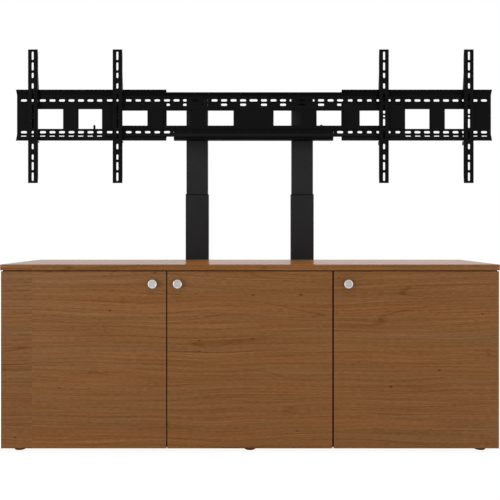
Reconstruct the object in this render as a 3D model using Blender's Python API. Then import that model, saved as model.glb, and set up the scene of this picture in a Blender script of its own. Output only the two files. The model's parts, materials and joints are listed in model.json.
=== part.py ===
"""AV credenza: a three-door cabinet with two telescopic lift columns behind it and a twin-display mount.

Lengths are in metres. In the cabinet frame x runs along the width from the cabinet's middle, y runs from the
front of the doors to the back, and z runs up from the floor.
"""

from math import asin, cos, hypot, pi, sin, sqrt

import bmesh
import bpy
from mathutils import Matrix, Vector

# Clearances
SEAT_GAP = 0.0003  # between pieces that are fixed face to face
SLIDE_GAP = 0.0003  # between a moving piece and its guide
SWING_GAP = 0.0007  # left round a door's corners as it swings
CUT_MARGIN = 0.002  # how far a cutter runs past the wall that it cuts

# Cabinet
CABINET_WIDTH = 2.128
CABINET_DEPTH = 0.545  # from the door fronts to the back of the carcass
CABINET_HEIGHT = 0.805
BOARD = 0.019
BACK_BOARD = 0.012
TOP_BOARD = 0.025
TOP_SIDE_OVERHANG = 0.003
TOP_FRONT_OVERHANG = 0.003
TOP_BACK_OVERHANG = 0.011
EASED_EDGE = 0.001
SHELF_HEIGHT = 0.400
SHELF_FRONT_SETBACK = 0.020
SHELF_BACK_GAP = 0.008
VENT_LENGTH = 0.220
VENT_WIDTH = 0.008
VENT_PITCH = 0.022
VENT_COUNT = 5
VENT_BELOW_TOP = 0.060
OUTLET_DIAMETER = 0.060
OUTLET_HEIGHT = 0.130

# Doors and knobs
DOOR_BOARD = 0.019
DOOR_TOP_REVEAL = 0.004
DOOR_LATCH_GAP = 0.003  # between the free edges of the left and middle doors
KNOB_DIAMETER = 0.039
KNOB_FACE = 0.009
KNOB_RIM = 0.0015
KNOB_STEM_DIAMETER = 0.017
KNOB_PROJECTION = 0.028
KNOB_BELOW_DOOR_TOP = 0.053
KNOB_INSETS = {"left": 0.056, "middle": 0.047, "right": 0.060}

# Concealed hinges
HINGE_END_INSET = 0.100  # hinge centre from the top or bottom of its door
CUP_DIAMETER = 0.035
CUP_WALL = 0.0008
CUP_INSET = 0.003  # rim of the cup from the door's edge
CUP_FLANGE_LENGTH = 0.062
CUP_FLANGE_WIDTH = 0.024
CUP_FLANGE = 0.0012
PIN_DIAMETER = 0.0025
PIN_FROM_RIM = 0.005
PIN_DEPTH = 0.0099  # pin axis below the door's back face
EYE_WALL = 0.0012
ARM_STRIP = 0.0022
ARM_HEIGHT = 0.010
ARM_REACH = 0.020  # pin axis to the leg that turns back into the cabinet
PLATE_SETBACK = 0.008
PLATE_LENGTH = 0.044
PLATE_HEIGHT = 0.040
PLATE_SHEET = 0.0025

# Levelling feet
FOOT_HEIGHT = 0.019
FOOT_DIAMETER = 0.048
FOOT_ROUND = 0.003
FOOT_STEM_DIAMETER = 0.010
FOOT_STEM_LENGTH = 0.015
FOOT_SIDE_INSET = 0.064
FOOT_FRONT_INSET = 0.060
FOOT_BACK_INSET = 0.045

# Lift columns
COLUMN_SPACING = 0.538
COLUMN_SHIFT = -0.0016  # the columns' middle from the cabinet's middle
COLUMN_GAP = 0.003  # outer tubes behind the back edge of the top
INNER_TUBE_WIDTH = 0.108
INNER_TUBE_DEPTH = 0.066
INNER_TUBE_CORNER = 0.005
TUBE_STEP = 0.004  # growth of each tube round the one inside it
TUBE_WALL = 0.003
COLLAR_HEIGHT = 0.006
OUTER_TUBE_DROP = 0.007  # top of the outer tubes, with their collars, below the cabinet's top
MIDDLE_TUBE_BOTTOM = 0.499
MIDDLE_COLLAR_TOP = 1.139
INNER_TUBE_BOTTOM = 0.880
INNER_TUBE_ABOVE_MOUNT = 0.122
BASE_PLATE = 0.008
BASE_PLATE_MARGIN = 0.007  # base plate beyond the outer tube, front and back
BASE_PLATE_SIDE_MARGIN = 0.018
TIE_BAR_HEIGHT = 0.040
UPPER_TIE_BAR_DROP = 0.105  # middle of the upper tie bar below the cabinet's top
LOWER_TIE_BAR_AT = 0.060
CONTROL_BOX_WIDTH = 0.300
CONTROL_BOX_DEPTH = 0.045
CONTROL_BOX_HEIGHT = 0.110
CONTROL_BOX_AT = 0.260
INLET_WIDTH = 0.028
INLET_HEIGHT = 0.020
INLET_DEPTH = 0.016

# Display mount: heights are from the mount's middle
MOUNT_HEIGHT = 1.518
RAIL_SHIFT = 0.020  # the outer rails' middle to the right of the cabinet's middle
CENTRE_RAIL_SHIFT = 0.0179  # the same for the centre rail and the crossbar
RAIL_SHEET = 0.0025
LIP_REACH = 0.017
OUTER_RAIL_LENGTH = 0.754
OUTER_RAIL_INNER_END = 0.4396
OUTER_WEB_TOP = 0.117
OUTER_LIP_RISE = 0.0232
OUTER_WEB_BOTTOM = -0.0815
OUTER_LIP_DROP = 0.0321
OUTER_WINDOW_HEIGHT = 0.099
OUTER_WINDOW_AT = -0.0035
CENTRE_RAIL_LENGTH = 1.525
CENTRE_NEST_TOP = 0.005  # folds of the centre rail inside those of the outer rails
CENTRE_NEST_BOTTOM = 0.0035
CENTRE_LIP_RISE = 0.0156
CENTRE_LIP_DROP = 0.0153
CENTRE_BAND_TOP = 0.058
CENTRE_BAND_BOTTOM = -0.054
CENTRE_BAND_STEP = 0.003
CENTRE_WINDOW_HEIGHT = 0.0747
CENTRE_WINDOW_AT = 0.0
CENTRE_WINDOW_START = 0.101
WINDOW_WIDTH = 0.1385
WINDOW_PITCH = 0.2165
WINDOW_COUNT = 3
OUTER_WINDOW_MARGIN = 0.0935
SLOT_LENGTH = 0.030
SLOT_HEIGHT = 0.0115
SLIT_LENGTH = 0.026
SLIT_HEIGHT = 0.005
SLOT_PITCH = 0.0479
SLOT_COUNT = 15  # on each half of the centre rail
OUTER_SLOT_COUNT = 16  # the last is an open notch in the rail's inner end
OUTER_SLOT_MARGIN = 0.0345
MIDDLE_SLOT_LENGTH = 0.040
CENTRE_SLOT_START = 0.0526
UPPER_ROW_AT = 0.090
SECOND_ROW_AT = 0.068
LOWER_ROW_AT = -0.070
SLIT_ROW_AT = -0.090
STUD_WIDTH = 0.0105
OUTER_STUD_FROM_WINDOW = 0.0743
OUTER_STUD_HEIGHT = 0.0195
CENTRE_STUD_FROM_WINDOW = 0.0182
CENTRE_STUD_HEIGHT = 0.004
CROSSBAR_LENGTH = 0.8045
CROSSBAR_DEPTH = 0.0417
CROSSBAR_TOP = -0.054
CROSSBAR_BOTTOM = -0.109
CROSSBAR_WALL = 0.003
BRACKET_WIDTH = 0.080
BRACKET_HEIGHT = 0.045
BRACKET_TOP = 0.104
BRACKET_WALL = 0.003

# Display arms
DISPLAY_ARM_LENGTH = 0.6675
DISPLAY_ARM_RISE = 0.0055  # middle of an arm above the mount's middle
DISPLAY_ARM_WIDTH = 0.048
DISPLAY_ARM_SHEET = 0.0025
DISPLAY_ARM_DEPTH = 0.012
DISPLAY_ARM_END_DEPTH = 0.006
ARM_END_TAPER = 0.034
DISPLAY_ARM_REST_GAP = 0.0005
HOOK_REACH = 0.0115  # hook behind the outer rail's upper lip
HOOK_ABOVE_LIP = 0.004
HOOK_SLANT_TOP = 0.2265  # where the hook's slanted back begins, above the mount's middle
LOCK_TAB_DEPTH = 0.033  # tab under the rail's lower lip, from the arm's face
LOCK_TAB_HEIGHTS = {"left": 0.0195, "right": 0.007}
DISPLAY_ARM_FROM_RAIL_END = {"first": 0.088, "second": 0.511, "third": 0.5438, "fourth": 0.1197}
ARM_SLOT_WIDTH = 0.0098
ARM_SLOTS = {0.0355: 0.046, 0.093: 0.042, 0.1515: 0.027, 0.204: 0.026, 0.249: 0.040, 0.302: 0.042}
ARM_HOLE_DIAMETER = 0.010

# Facets
ROUND_STEPS = 16
CUP_STEPS = 12
FOOT_STEPS = 14
PIN_STEPS = 8
CORNER_STEPS = 3
RIM_STEPS = 2
SLOT_END_STEPS = 3
SHARP_ANGLE = pi / 6  # sharper folds than this keep a hard edge
MERGE_DISTANCE = 0.000001  # points of a turned shape that meet on its axis or seam

# Sizes that follow from those above
pin_inset = CUP_INSET + PIN_FROM_RIM
pin_y = DOOR_BOARD - PIN_DEPTH
eye_radius = PIN_DIAMETER / 2 + SLIDE_GAP + EYE_WALL
cup_depth = PIN_DEPTH + eye_radius + SLIDE_GAP + CUP_WALL
door_rear_gap = hypot(pin_inset, PIN_DEPTH) - PIN_DEPTH + SWING_GAP
door_hinge_gap = hypot(pin_inset, pin_y) - pin_inset + SWING_GAP
carcass_front = DOOR_BOARD + door_rear_gap
half_width = CABINET_WIDTH / 2
door_width = (CABINET_WIDTH - DOOR_LATCH_GAP - door_hinge_gap) / 3
door_top = CABINET_HEIGHT - TOP_BOARD - DOOR_TOP_REVEAL
top_underside = CABINET_HEIGHT - TOP_BOARD
left_partition_x = -half_width + door_width + DOOR_LATCH_GAP / 2
right_partition_x = half_width - door_width - door_hinge_gap / 2
back_panel_front = CABINET_DEPTH - BACK_BOARD
floor_top = FOOT_HEIGHT + BOARD
top_back = CABINET_DEPTH + TOP_BACK_OVERHANG
outer_tube_front = top_back + COLUMN_GAP
outer_collar_top = CABINET_HEIGHT - OUTER_TUBE_DROP
upper_tie_bar_at = CABINET_HEIGHT - UPPER_TIE_BAR_DROP
inner_tube_front = outer_tube_front + 2 * TUBE_STEP
column_middle_y = inner_tube_front + INNER_TUBE_DEPTH / 2
outer_tube_back = inner_tube_front + INNER_TUBE_DEPTH + 2 * TUBE_STEP
centre_web_back = inner_tube_front - CROSSBAR_DEPTH - 2 * SEAT_GAP
outer_web_front = centre_web_back + SLIDE_GAP
outer_lip_front = outer_web_front - LIP_REACH
outer_lip_top = OUTER_WEB_TOP + OUTER_LIP_RISE
outer_lip_bottom = OUTER_WEB_BOTTOM - OUTER_LIP_DROP
lock_tab_top = outer_lip_bottom - RAIL_SHEET - SLIDE_GAP
display_arm_face = outer_lip_front - DISPLAY_ARM_REST_GAP - DISPLAY_ARM_DEPTH
knob_front = -(SEAT_GAP + KNOB_PROJECTION)
base_plate_back = outer_tube_back + BASE_PLATE_MARGIN
y_middle = (knob_front + base_plate_back) / 2


def finish(name, colour, roughness, metallic):
    """A plain Principled material; the colour is linear RGB."""
    material = bpy.data.materials.new(name)
    material.use_nodes = True
    shader = material.node_tree.nodes["Principled BSDF"]
    shader.inputs["Base Color"].default_value = (*colour, 1.0)
    shader.inputs["Roughness"].default_value = roughness
    shader.inputs["Metallic"].default_value = metallic
    material.diffuse_color = (*colour, 1.0)
    return material


def empty(name, at, parent=None):
    """An empty at a place in the cabinet frame, which carries the pieces of one moving body."""
    carrier = bpy.data.objects.new(name, None)
    bpy.context.scene.collection.objects.link(carrier)
    if parent:
        carrier.parent = parent
        carrier.location = Vector(at) - place_of(parent)
    else:
        carrier.location = at
    return carrier


def place_of(carrier):
    """Where an empty lies in the cabinet frame: the locations added up from it to the cabinet's own empty."""
    place = Vector((0, 0, 0))
    while carrier.parent:
        place += carrier.location
        carrier = carrier.parent
    return place


def piece(name, shape, material, parent, at):
    """Turn a bmesh, drawn round its own origin, into a named object placed in the cabinet frame."""
    bmesh.ops.recalc_face_normals(shape, faces=shape.faces)
    mesh = bpy.data.meshes.new(name)
    shape.to_mesh(mesh)
    shape.free()
    mesh.materials.append(material)
    obj = bpy.data.objects.new(name, mesh)
    bpy.context.scene.collection.objects.link(obj)
    obj.parent = parent
    obj.location = Vector(at) - place_of(parent)
    return obj


def boolean(obj, shape, operation):
    """Cut a shape from a piece, or join it on. The tool is a hidden child, drawn round the piece's origin."""
    bmesh.ops.recalc_face_normals(shape, faces=shape.faces)
    name = f"{obj.name}_{operation.lower()}_{len(obj.modifiers)}"
    mesh = bpy.data.meshes.new(name)
    shape.to_mesh(mesh)
    shape.free()
    tool = bpy.data.objects.new(name, mesh)
    bpy.context.scene.collection.objects.link(tool)
    tool.parent = obj
    tool.hide_render = True
    tool.display_type = "WIRE"
    modifier = obj.modifiers.new(name, "BOOLEAN")
    modifier.operation = operation
    modifier.object = tool


def ease_edges(obj):
    """Break the sharp edges of a visible board."""
    modifier = obj.modifiers.new("eased_edges", "BEVEL")
    modifier.width = EASED_EDGE
    modifier.segments = 1
    modifier.limit_method = "ANGLE"


def shade_round(obj):
    """Shade the round sides of a turned or drawn piece smooth and keep its edges sharp."""
    obj.data.shade_smooth()
    obj.data.set_sharp_from_angle(angle=SHARP_ANGLE)


def rectangle(low, high):
    """Corners of a rectangle from its low and high corners."""
    return [(low[0], low[1]), (high[0], low[1]), (high[0], high[1]), (low[0], high[1])]


def arc(centre, radius, start, end, steps):
    """Points on an arc, both ends included."""
    angles = [start + (end - start) * i / steps for i in range(steps + 1)]
    return [(centre[0] + radius * cos(angle), centre[1] + radius * sin(angle)) for angle in angles]


def circle(centre, radius, steps):
    """Points round a circle."""
    return arc(centre, radius, 0, 2 * pi, steps)[:-1]


def bore(centre, radius, steps):
    """A faceted hole whose flats, not its corners, lie at the radius."""
    return circle(centre, radius / cos(pi / steps), steps)


def rounded_rectangle(width, depth, radius):
    """A rectangle with round corners, about its middle."""
    x = width / 2 - radius
    y = depth / 2 - radius
    corners = [(x, y), (-x, y), (-x, -y), (x, -y)]
    outline = []
    for turn, corner in enumerate(corners):
        outline += arc(corner, radius, turn * pi / 2, (turn + 1) * pi / 2, CORNER_STEPS)
    return outline


def slot(centre, width, height):
    """A slot with round ends along its longer side."""
    radius = min(width, height) / 2
    run = abs(width - height) / 2
    across = width >= height
    ahead = (run, 0) if across else (0, run)
    turn = 0 if across else pi / 2
    first = (centre[0] + ahead[0], centre[1] + ahead[1])
    second = (centre[0] - ahead[0], centre[1] - ahead[1])
    outline = arc(first, radius, turn - pi / 2, turn + pi / 2, SLOT_END_STEPS)
    return outline + arc(second, radius, turn + pi / 2, turn + 3 * pi / 2, SLOT_END_STEPS)


def folded_sheet(face, thickness):
    """Outline of a folded sheet behind its front face, whose (y, z) points run from top to bottom."""
    normals = []
    for (y0, z0), (y1, z1) in zip(face, face[1:]):
        length = hypot(y1 - y0, z1 - z0)
        normals.append(Vector(((z0 - z1) / length, (y1 - y0) / length)))
    back = []
    for before, point, after in zip([normals[0]] + normals, face, normals + [normals[-1]]):
        mitre = (before + after) / (1 + before.dot(after))
        back.append(tuple(Vector(point) + mitre * thickness))
    return face + back[::-1]


def add_prism(shape, outline, axis, start, end):
    """Add to a bmesh an outline carried along an axis. It is drawn in the other two axes, in order."""
    along = "XYZ".index(axis)
    corners = []
    for point in outline:
        corner = list(point)
        corner.insert(along, start)
        corners.append(shape.verts.new(corner))
    base = shape.faces.new(corners)
    travel = Vector((0, 0, 0))
    travel[along] = end - start
    moved = bmesh.ops.extrude_face_region(shape, geom=[base])["geom"]
    bmesh.ops.translate(shape, vec=travel, verts=[v for v in moved if isinstance(v, bmesh.types.BMVert)])


def prisms(outlines, axis, start, end):
    """A bmesh of one or more outlines carried along an axis."""
    shape = bmesh.new()
    for outline in outlines:
        add_prism(shape, outline, axis, start, end)
    return shape


def turned(profile, steps):
    """A bmesh turned about the z axis from (radius, height) points that start and end on the axis."""
    shape = bmesh.new()
    points = [shape.verts.new((radius, 0, height)) for radius, height in profile]
    edges = [shape.edges.new(pair) for pair in zip(points, points[1:])]
    bmesh.ops.spin(shape, geom=points + edges, cent=(0, 0, 0), axis=(0, 0, 1), angle=2 * pi, steps=steps)
    bmesh.ops.remove_doubles(shape, verts=shape.verts, dist=MERGE_DISTANCE)
    return shape


def board(name, x_span, y_span, z_span, material, parent, eased=False):
    """A flat board between low and high planes on each axis, with its origin at its middle."""
    spans = (x_span, y_span, z_span)
    middle = [(low + high) / 2 for low, high in spans]
    sides = [high - low for low, high in spans]
    shape = bmesh.new()
    bmesh.ops.create_cube(shape, size=1, matrix=Matrix.Diagonal((*sides, 1)))
    obj = piece(name, shape, material, parent, middle)
    if eased:
        ease_edges(obj)
    return obj


def make_carcass(root, laminate, lining):
    """Sides, partitions, floor, top, backs and shelves of the cabinet."""
    depth = (carcass_front, CABINET_DEPTH)
    upright = (floor_top + SEAT_GAP, top_underside - SEAT_GAP)
    full_height = (FOOT_HEIGHT, top_underside - SEAT_GAP)
    inner_side = half_width - BOARD
    board("left_side_panel", (-half_width, -inner_side), depth, full_height, laminate, root, eased=True)
    board("right_side_panel", (inner_side, half_width), depth, full_height, laminate, root, eased=True)
    partition_faces = {}
    for side, x in (("left", left_partition_x), ("right", right_partition_x)):
        partition_faces[side] = (x - BOARD / 2, x + BOARD / 2)
        board(f"{side}_partition", partition_faces[side], depth, upright, lining, root)
    top_reach = half_width + TOP_SIDE_OVERHANG
    top_span = (-top_reach, top_reach)
    top_depth = (-TOP_FRONT_OVERHANG, top_back)
    top_height = (top_underside, CABINET_HEIGHT)
    board("top_panel", top_span, top_depth, top_height, laminate, root, eased=True)
    make_floor(root, lining, inner_side)
    bays = {
        "left": (-inner_side + SEAT_GAP, partition_faces["left"][0] - SEAT_GAP),
        "middle": (partition_faces["left"][1] + SEAT_GAP, partition_faces["right"][0] - SEAT_GAP),
        "right": (partition_faces["right"][1] + SEAT_GAP, inner_side - SEAT_GAP),
    }
    for bay, x_span in bays.items():
        back = board(f"{bay}_back_panel", x_span, (back_panel_front, CABINET_DEPTH), upright, lining, root)
        cut_back_panel(back, upright, vented=bay != "middle")
        if bay != "middle":
            shelf_depth = (carcass_front + SHELF_FRONT_SETBACK, back_panel_front - SHELF_BACK_GAP)
            board(f"{bay}_shelf", x_span, shelf_depth, (SHELF_HEIGHT, SHELF_HEIGHT + BOARD), lining, root)


def make_floor(root, lining, inner_side):
    """The cabinet's floor, bored for the stems of the levelling feet."""
    x_span = (-inner_side + SEAT_GAP, inner_side - SEAT_GAP)
    y_span = (carcass_front, back_panel_front - SEAT_GAP)
    floor = board("bottom_panel", x_span, y_span, (FOOT_HEIGHT, floor_top), lining, root)
    middle_y = sum(y_span) / 2
    radius = FOOT_STEM_DIAMETER / 2 + SLIDE_GAP
    holes = [bore((x, y - middle_y), radius, PIN_STEPS) for x, y in foot_places().values()]
    boolean(floor, prisms(holes, "Z", -BOARD / 2 - CUT_MARGIN, BOARD / 2 + CUT_MARGIN), "DIFFERENCE")


def cut_back_panel(back, upright, vented):
    """A round cable outlet near the floor and, in the equipment bays, a stack of vent slots near the top."""
    middle_z = sum(upright) / 2
    holes = [circle((0, OUTLET_HEIGHT - middle_z), OUTLET_DIAMETER / 2, ROUND_STEPS)]
    if vented:
        first = upright[1] - VENT_BELOW_TOP - middle_z
        holes += [slot((0, first - VENT_PITCH * i), VENT_LENGTH, VENT_WIDTH) for i in range(VENT_COUNT)]
    boolean(back, prisms(holes, "Y", -BACK_BOARD / 2 - CUT_MARGIN, BACK_BOARD / 2 + CUT_MARGIN), "DIFFERENCE")


def foot_places():
    """Where the axes of the levelling feet stand."""
    columns = {"left": -half_width + FOOT_SIDE_INSET, "middle": 0.0, "right": half_width - FOOT_SIDE_INSET}
    rows = {"front": FOOT_FRONT_INSET, "rear": CABINET_DEPTH - FOOT_BACK_INSET}
    return {f"{row}_{column}": (x, y) for row, y in rows.items() for column, x in columns.items()}


def make_feet(root, plastic):
    """Round levelling feet that screw into the cabinet's floor."""
    radius = FOOT_DIAMETER / 2
    stem = FOOT_STEM_DIAMETER / 2
    pad_top = FOOT_HEIGHT - SEAT_GAP
    stem_top = pad_top + FOOT_STEM_LENGTH
    rim = arc((radius - FOOT_ROUND, FOOT_ROUND), FOOT_ROUND, -pi / 2, 0, RIM_STEPS)
    profile = [(0, 0)] + rim + [(radius, pad_top), (stem, pad_top), (stem, stem_top), (0, stem_top)]
    for name, (x, y) in foot_places().items():
        shade_round(piece(f"{name}_foot", turned(profile, FOOT_STEPS), plastic, root, (x, y, 0)))


def make_doors(root, laminate, metal, steel):
    """Three flush doors. The left one hangs on the left side, the other two hang on their right."""
    left_edges = {
        "left": -half_width,
        "middle": -half_width + door_width + DOOR_LATCH_GAP,
        "right": half_width - door_width,
    }
    panel_faces = {
        "left": BOARD,
        "middle": left_edges["middle"] + door_width - (right_partition_x - BOARD / 2),
        "right": BOARD,
    }
    for name, left_edge in left_edges.items():
        hand = 1 if name == "left" else -1
        hinge_edge = left_edge if hand == 1 else left_edge + door_width
        pivot = empty(f"{name}_door_pivot", (hinge_edge + hand * pin_inset, pin_y, FOOT_HEIGHT), root)
        make_door(name, pivot, left_edge, hinge_edge, hand, laminate)
        make_knob(name, pivot, hinge_edge + hand * (door_width - KNOB_INSETS[name]), metal)
        face = panel_faces[name] - pin_inset + SEAT_GAP
        for level, z in hinge_heights().items():
            at = (hinge_edge + hand * pin_inset, pin_y, z)
            make_hinge_cup(f"{name}_door_{level}_hinge_cup", pivot, at, hand, steel)
            make_hinge_arm(f"{name}_door_{level}_hinge_arm", root, at, hand, face, steel)


def hinge_heights():
    """Heights of a door's two hinges."""
    return {"upper": door_top - HINGE_END_INSET, "lower": FOOT_HEIGHT + HINGE_END_INSET}


def make_door(name, pivot, left_edge, hinge_edge, hand, laminate):
    """A door board with a blind bore in its back for each hinge cup."""
    x_span = (left_edge, left_edge + door_width)
    z_span = (FOOT_HEIGHT, door_top)
    door = board(f"{name}_door", x_span, (0, DOOR_BOARD), z_span, laminate, pivot, eased=True)
    middle_x = sum(x_span) / 2
    middle_z = sum(z_span) / 2
    cup_x = hinge_edge + hand * (CUP_INSET + CUP_DIAMETER / 2) - middle_x
    radius = CUP_DIAMETER / 2 + SEAT_GAP
    holes = [bore((cup_x, z - middle_z), radius, CUP_STEPS) for z in hinge_heights().values()]
    bore_floor = DOOR_BOARD / 2 - cup_depth - SEAT_GAP
    boolean(door, prisms(holes, "Y", bore_floor, DOOR_BOARD / 2 + CUT_MARGIN), "DIFFERENCE")


def make_knob(name, pivot, x, metal):
    """A round flat knob on a narrower stem, turned about the axis that stands out from the door."""
    radius = KNOB_DIAMETER / 2
    stem = KNOB_STEM_DIAMETER / 2
    face_back = KNOB_PROJECTION - KNOB_FACE
    rim_back = arc((radius - KNOB_RIM, face_back + KNOB_RIM), KNOB_RIM, -pi / 2, 0, RIM_STEPS)
    rim_front = arc((radius - KNOB_RIM, KNOB_PROJECTION - KNOB_RIM), KNOB_RIM, 0, pi / 2, RIM_STEPS)
    profile = [(0, 0), (stem, 0), (stem, face_back)] + rim_back + rim_front + [(0, KNOB_PROJECTION)]
    shape = turned(profile, ROUND_STEPS)
    bmesh.ops.rotate(shape, verts=shape.verts, matrix=Matrix.Rotation(pi / 2, 3, "X"))
    shade_round(piece(f"{name}_knob", shape, metal, pivot, (x, -SEAT_GAP, door_top - KNOB_BELOW_DOOR_TOP)))


def make_hinge_cup(name, pivot, at, hand, steel):
    """A pressed cup with a screw flange and, across it, the pin on which the door turns, at its origin."""
    cup_x = hand * (CUP_DIAMETER / 2 - PIN_FROM_RIM)
    radius = CUP_DIAMETER / 2
    back = PIN_DEPTH + SEAT_GAP + CUP_FLANGE
    front = PIN_DEPTH - cup_depth
    cup = piece(name, prisms([circle((cup_x, 0), radius, CUP_STEPS)], "Y", front, back), steel, pivot, at)
    flange = slot((cup_x, 0), CUP_FLANGE_WIDTH, CUP_FLANGE_LENGTH)
    boolean(cup, prisms([flange], "Y", PIN_DEPTH + SEAT_GAP, back), "UNION")
    hollow = circle((cup_x, 0), radius - CUP_WALL, CUP_STEPS)
    boolean(cup, prisms([hollow], "Y", front + CUP_WALL, back + CUT_MARGIN), "DIFFERENCE")
    pin_reach = sqrt((radius - CUP_WALL / 2) ** 2 - (abs(cup_x) + PIN_DIAMETER / 2) ** 2)
    pin = circle((0, 0), PIN_DIAMETER / 2, PIN_STEPS)
    boolean(cup, prisms([pin], "Z", -pin_reach, pin_reach), "UNION")
    shade_round(cup)


def make_hinge_arm(name, root, at, hand, face, steel):
    """An arm with an eye round the pin, which reaches across the cup and back to its plate on the cabinet."""
    half = ARM_STRIP / 2
    plate_front = carcass_front - pin_y + PLATE_SETBACK
    plate_back = plate_front + PLATE_LENGTH
    opening = asin(half / eye_radius)
    outline = arc((0, 0), eye_radius, opening, 2 * pi - opening, PIN_STEPS)
    outline += [(ARM_REACH + half, -half), (ARM_REACH + half, plate_back), (face, plate_back)]
    outline += [(face, plate_front), (ARM_REACH - half, plate_front), (ARM_REACH - half, half)]
    outline = [(hand * x, y) for x, y in outline]
    arm = piece(name, prisms([outline], "Z", -ARM_HEIGHT / 2, ARM_HEIGHT / 2), steel, root, at)
    plate = rectangle((hand * face, plate_front), (hand * (face + PLATE_SHEET), plate_back))
    boolean(arm, prisms([plate], "Z", -PLATE_HEIGHT / 2, PLATE_HEIGHT / 2), "UNION")
    eye = bore((0, 0), PIN_DIAMETER / 2 + SLIDE_GAP, PIN_STEPS)
    boolean(arm, prisms([eye], "Z", -ARM_HEIGHT, ARM_HEIGHT), "DIFFERENCE")


def tube_outline(stage, inset):
    """Section of a lift tube, counted outwards from the inner one, drawn in by an inset."""
    growth = TUBE_STEP * stage - inset
    return rounded_rectangle(
        INNER_TUBE_WIDTH + 2 * growth, INNER_TUBE_DEPTH + 2 * growth, INNER_TUBE_CORNER + growth
    )


def make_tube(name, carrier, stage, x, run, material, closed_top=False):
    """A lift tube, open below. Only the inner one is closed at its top."""
    bottom, top = run
    shape = prisms([tube_outline(stage, 0)], "Z", 0, top - bottom)
    tube = piece(name, shape, material, carrier, (x, column_middle_y, bottom))
    hollow_top = top - bottom - TUBE_WALL if closed_top else top - bottom + CUT_MARGIN
    boolean(tube, prisms([tube_outline(stage, TUBE_WALL)], "Z", -CUT_MARGIN, hollow_top), "DIFFERENCE")
    shade_round(tube)


def make_collar(name, carrier, stage, x, top, plastic):
    """A guide collar that caps a tube and runs close round the next tube inside it."""
    bottom = top - COLLAR_HEIGHT + SEAT_GAP
    shape = prisms([tube_outline(stage, 0)], "Z", 0, top - bottom)
    collar = piece(name, shape, plastic, carrier, (x, column_middle_y, bottom))
    passage = tube_outline(stage - 1, -SLIDE_GAP)
    boolean(collar, prisms([passage], "Z", -CUT_MARGIN, top - bottom + CUT_MARGIN), "DIFFERENCE")
    shade_round(collar)


def column_places():
    """Where the middles of the two lift columns stand along the width."""
    return {"left": COLUMN_SHIFT - COLUMN_SPACING / 2, "right": COLUMN_SHIFT + COLUMN_SPACING / 2}


def make_columns(root, middle_stage, carriage, column_black, plastic, steel):
    """Two three-stage lift columns on base plates, tied to the back of the cabinet."""
    outer_half = INNER_TUBE_WIDTH / 2 + 2 * TUBE_STEP
    for side, x in column_places().items():
        plate_reach = outer_half + BASE_PLATE_SIDE_MARGIN
        plate_span = (x - plate_reach, x + plate_reach)
        plate_depth = (outer_tube_front - BASE_PLATE_MARGIN, base_plate_back)
        board(f"{side}_base_plate", plate_span, plate_depth, (0, BASE_PLATE), steel, root)
        outer_top = outer_collar_top - COLLAR_HEIGHT
        outer_run = (BASE_PLATE + SEAT_GAP, outer_top)
        make_tube(f"{side}_outer_tube", root, 2, x, outer_run, column_black)
        make_collar(f"{side}_outer_collar", root, 2, x, outer_collar_top, plastic)
        middle_top = MIDDLE_COLLAR_TOP - COLLAR_HEIGHT
        middle_run = (MIDDLE_TUBE_BOTTOM, middle_top)
        make_tube(f"{side}_middle_tube", middle_stage, 1, x, middle_run, column_black)
        make_collar(f"{side}_middle_collar", middle_stage, 1, x, MIDDLE_COLLAR_TOP, plastic)
        inner_top = MOUNT_HEIGHT + INNER_TUBE_ABOVE_MOUNT
        inner_run = (INNER_TUBE_BOTTOM, inner_top)
        make_tube(f"{side}_inner_tube", carriage, 0, x, inner_run, column_black, closed_top=True)
    bar_reach = right_partition_x + BOARD / 2
    bar_depth = (CABINET_DEPTH + SEAT_GAP, outer_tube_front - SEAT_GAP)
    for level, z in (("upper", upper_tie_bar_at), ("lower", LOWER_TIE_BAR_AT)):
        bar_height = (z - TIE_BAR_HEIGHT / 2, z + TIE_BAR_HEIGHT / 2)
        board(f"{level}_tie_bar", (-bar_reach, bar_reach), bar_depth, bar_height, steel, root)


def make_control_box(root, plastic):
    """The lift's control box on the middle back panel, with a mains inlet in its left end."""
    back = back_panel_front - SEAT_GAP
    x_span = (-CONTROL_BOX_WIDTH / 2, CONTROL_BOX_WIDTH / 2)
    z_span = (CONTROL_BOX_AT - CONTROL_BOX_HEIGHT / 2, CONTROL_BOX_AT + CONTROL_BOX_HEIGHT / 2)
    y_span = (back - CONTROL_BOX_DEPTH, back)
    box = board("lift_control_box", x_span, y_span, z_span, plastic, root, eased=True)
    inlet = rectangle((-INLET_WIDTH / 2, -INLET_HEIGHT / 2), (INLET_WIDTH / 2, INLET_HEIGHT / 2))
    end = -CONTROL_BOX_WIDTH / 2
    boolean(box, prisms([inlet], "X", end - CUT_MARGIN, end + INLET_DEPTH), "DIFFERENCE")


def slot_row(places, z):
    """Outlines of equal round-ended slots along a rail at one height."""
    return [slot((x, z), SLOT_LENGTH, SLOT_HEIGHT) for x in places]


def slit_row(places, z):
    """Outlines of narrow square-ended slits along a rail at one height."""
    half = SLIT_LENGTH / 2
    low = z - SLIT_HEIGHT / 2
    return [rectangle((x - half, low), (x + half, low + SLIT_HEIGHT)) for x in places]


def window(x, z, height):
    """Outline of a rail window, from its left edge and its middle height."""
    return rectangle((x, z - height / 2), (x + WINDOW_WIDTH, z + height / 2))


def studded_window(x, z, height, stud_from_window, stud_height):
    """A window whose lower edge carries an upright locking stud."""
    low, right, high, left = window(x, z, height)
    stud = x + stud_from_window
    foot = low[1]
    head = foot + stud_height
    notch = [(stud, foot), (stud, head), (stud + STUD_WIDTH, head), (stud + STUD_WIDTH, foot)]
    return [low] + notch + [right, high, left]


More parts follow.
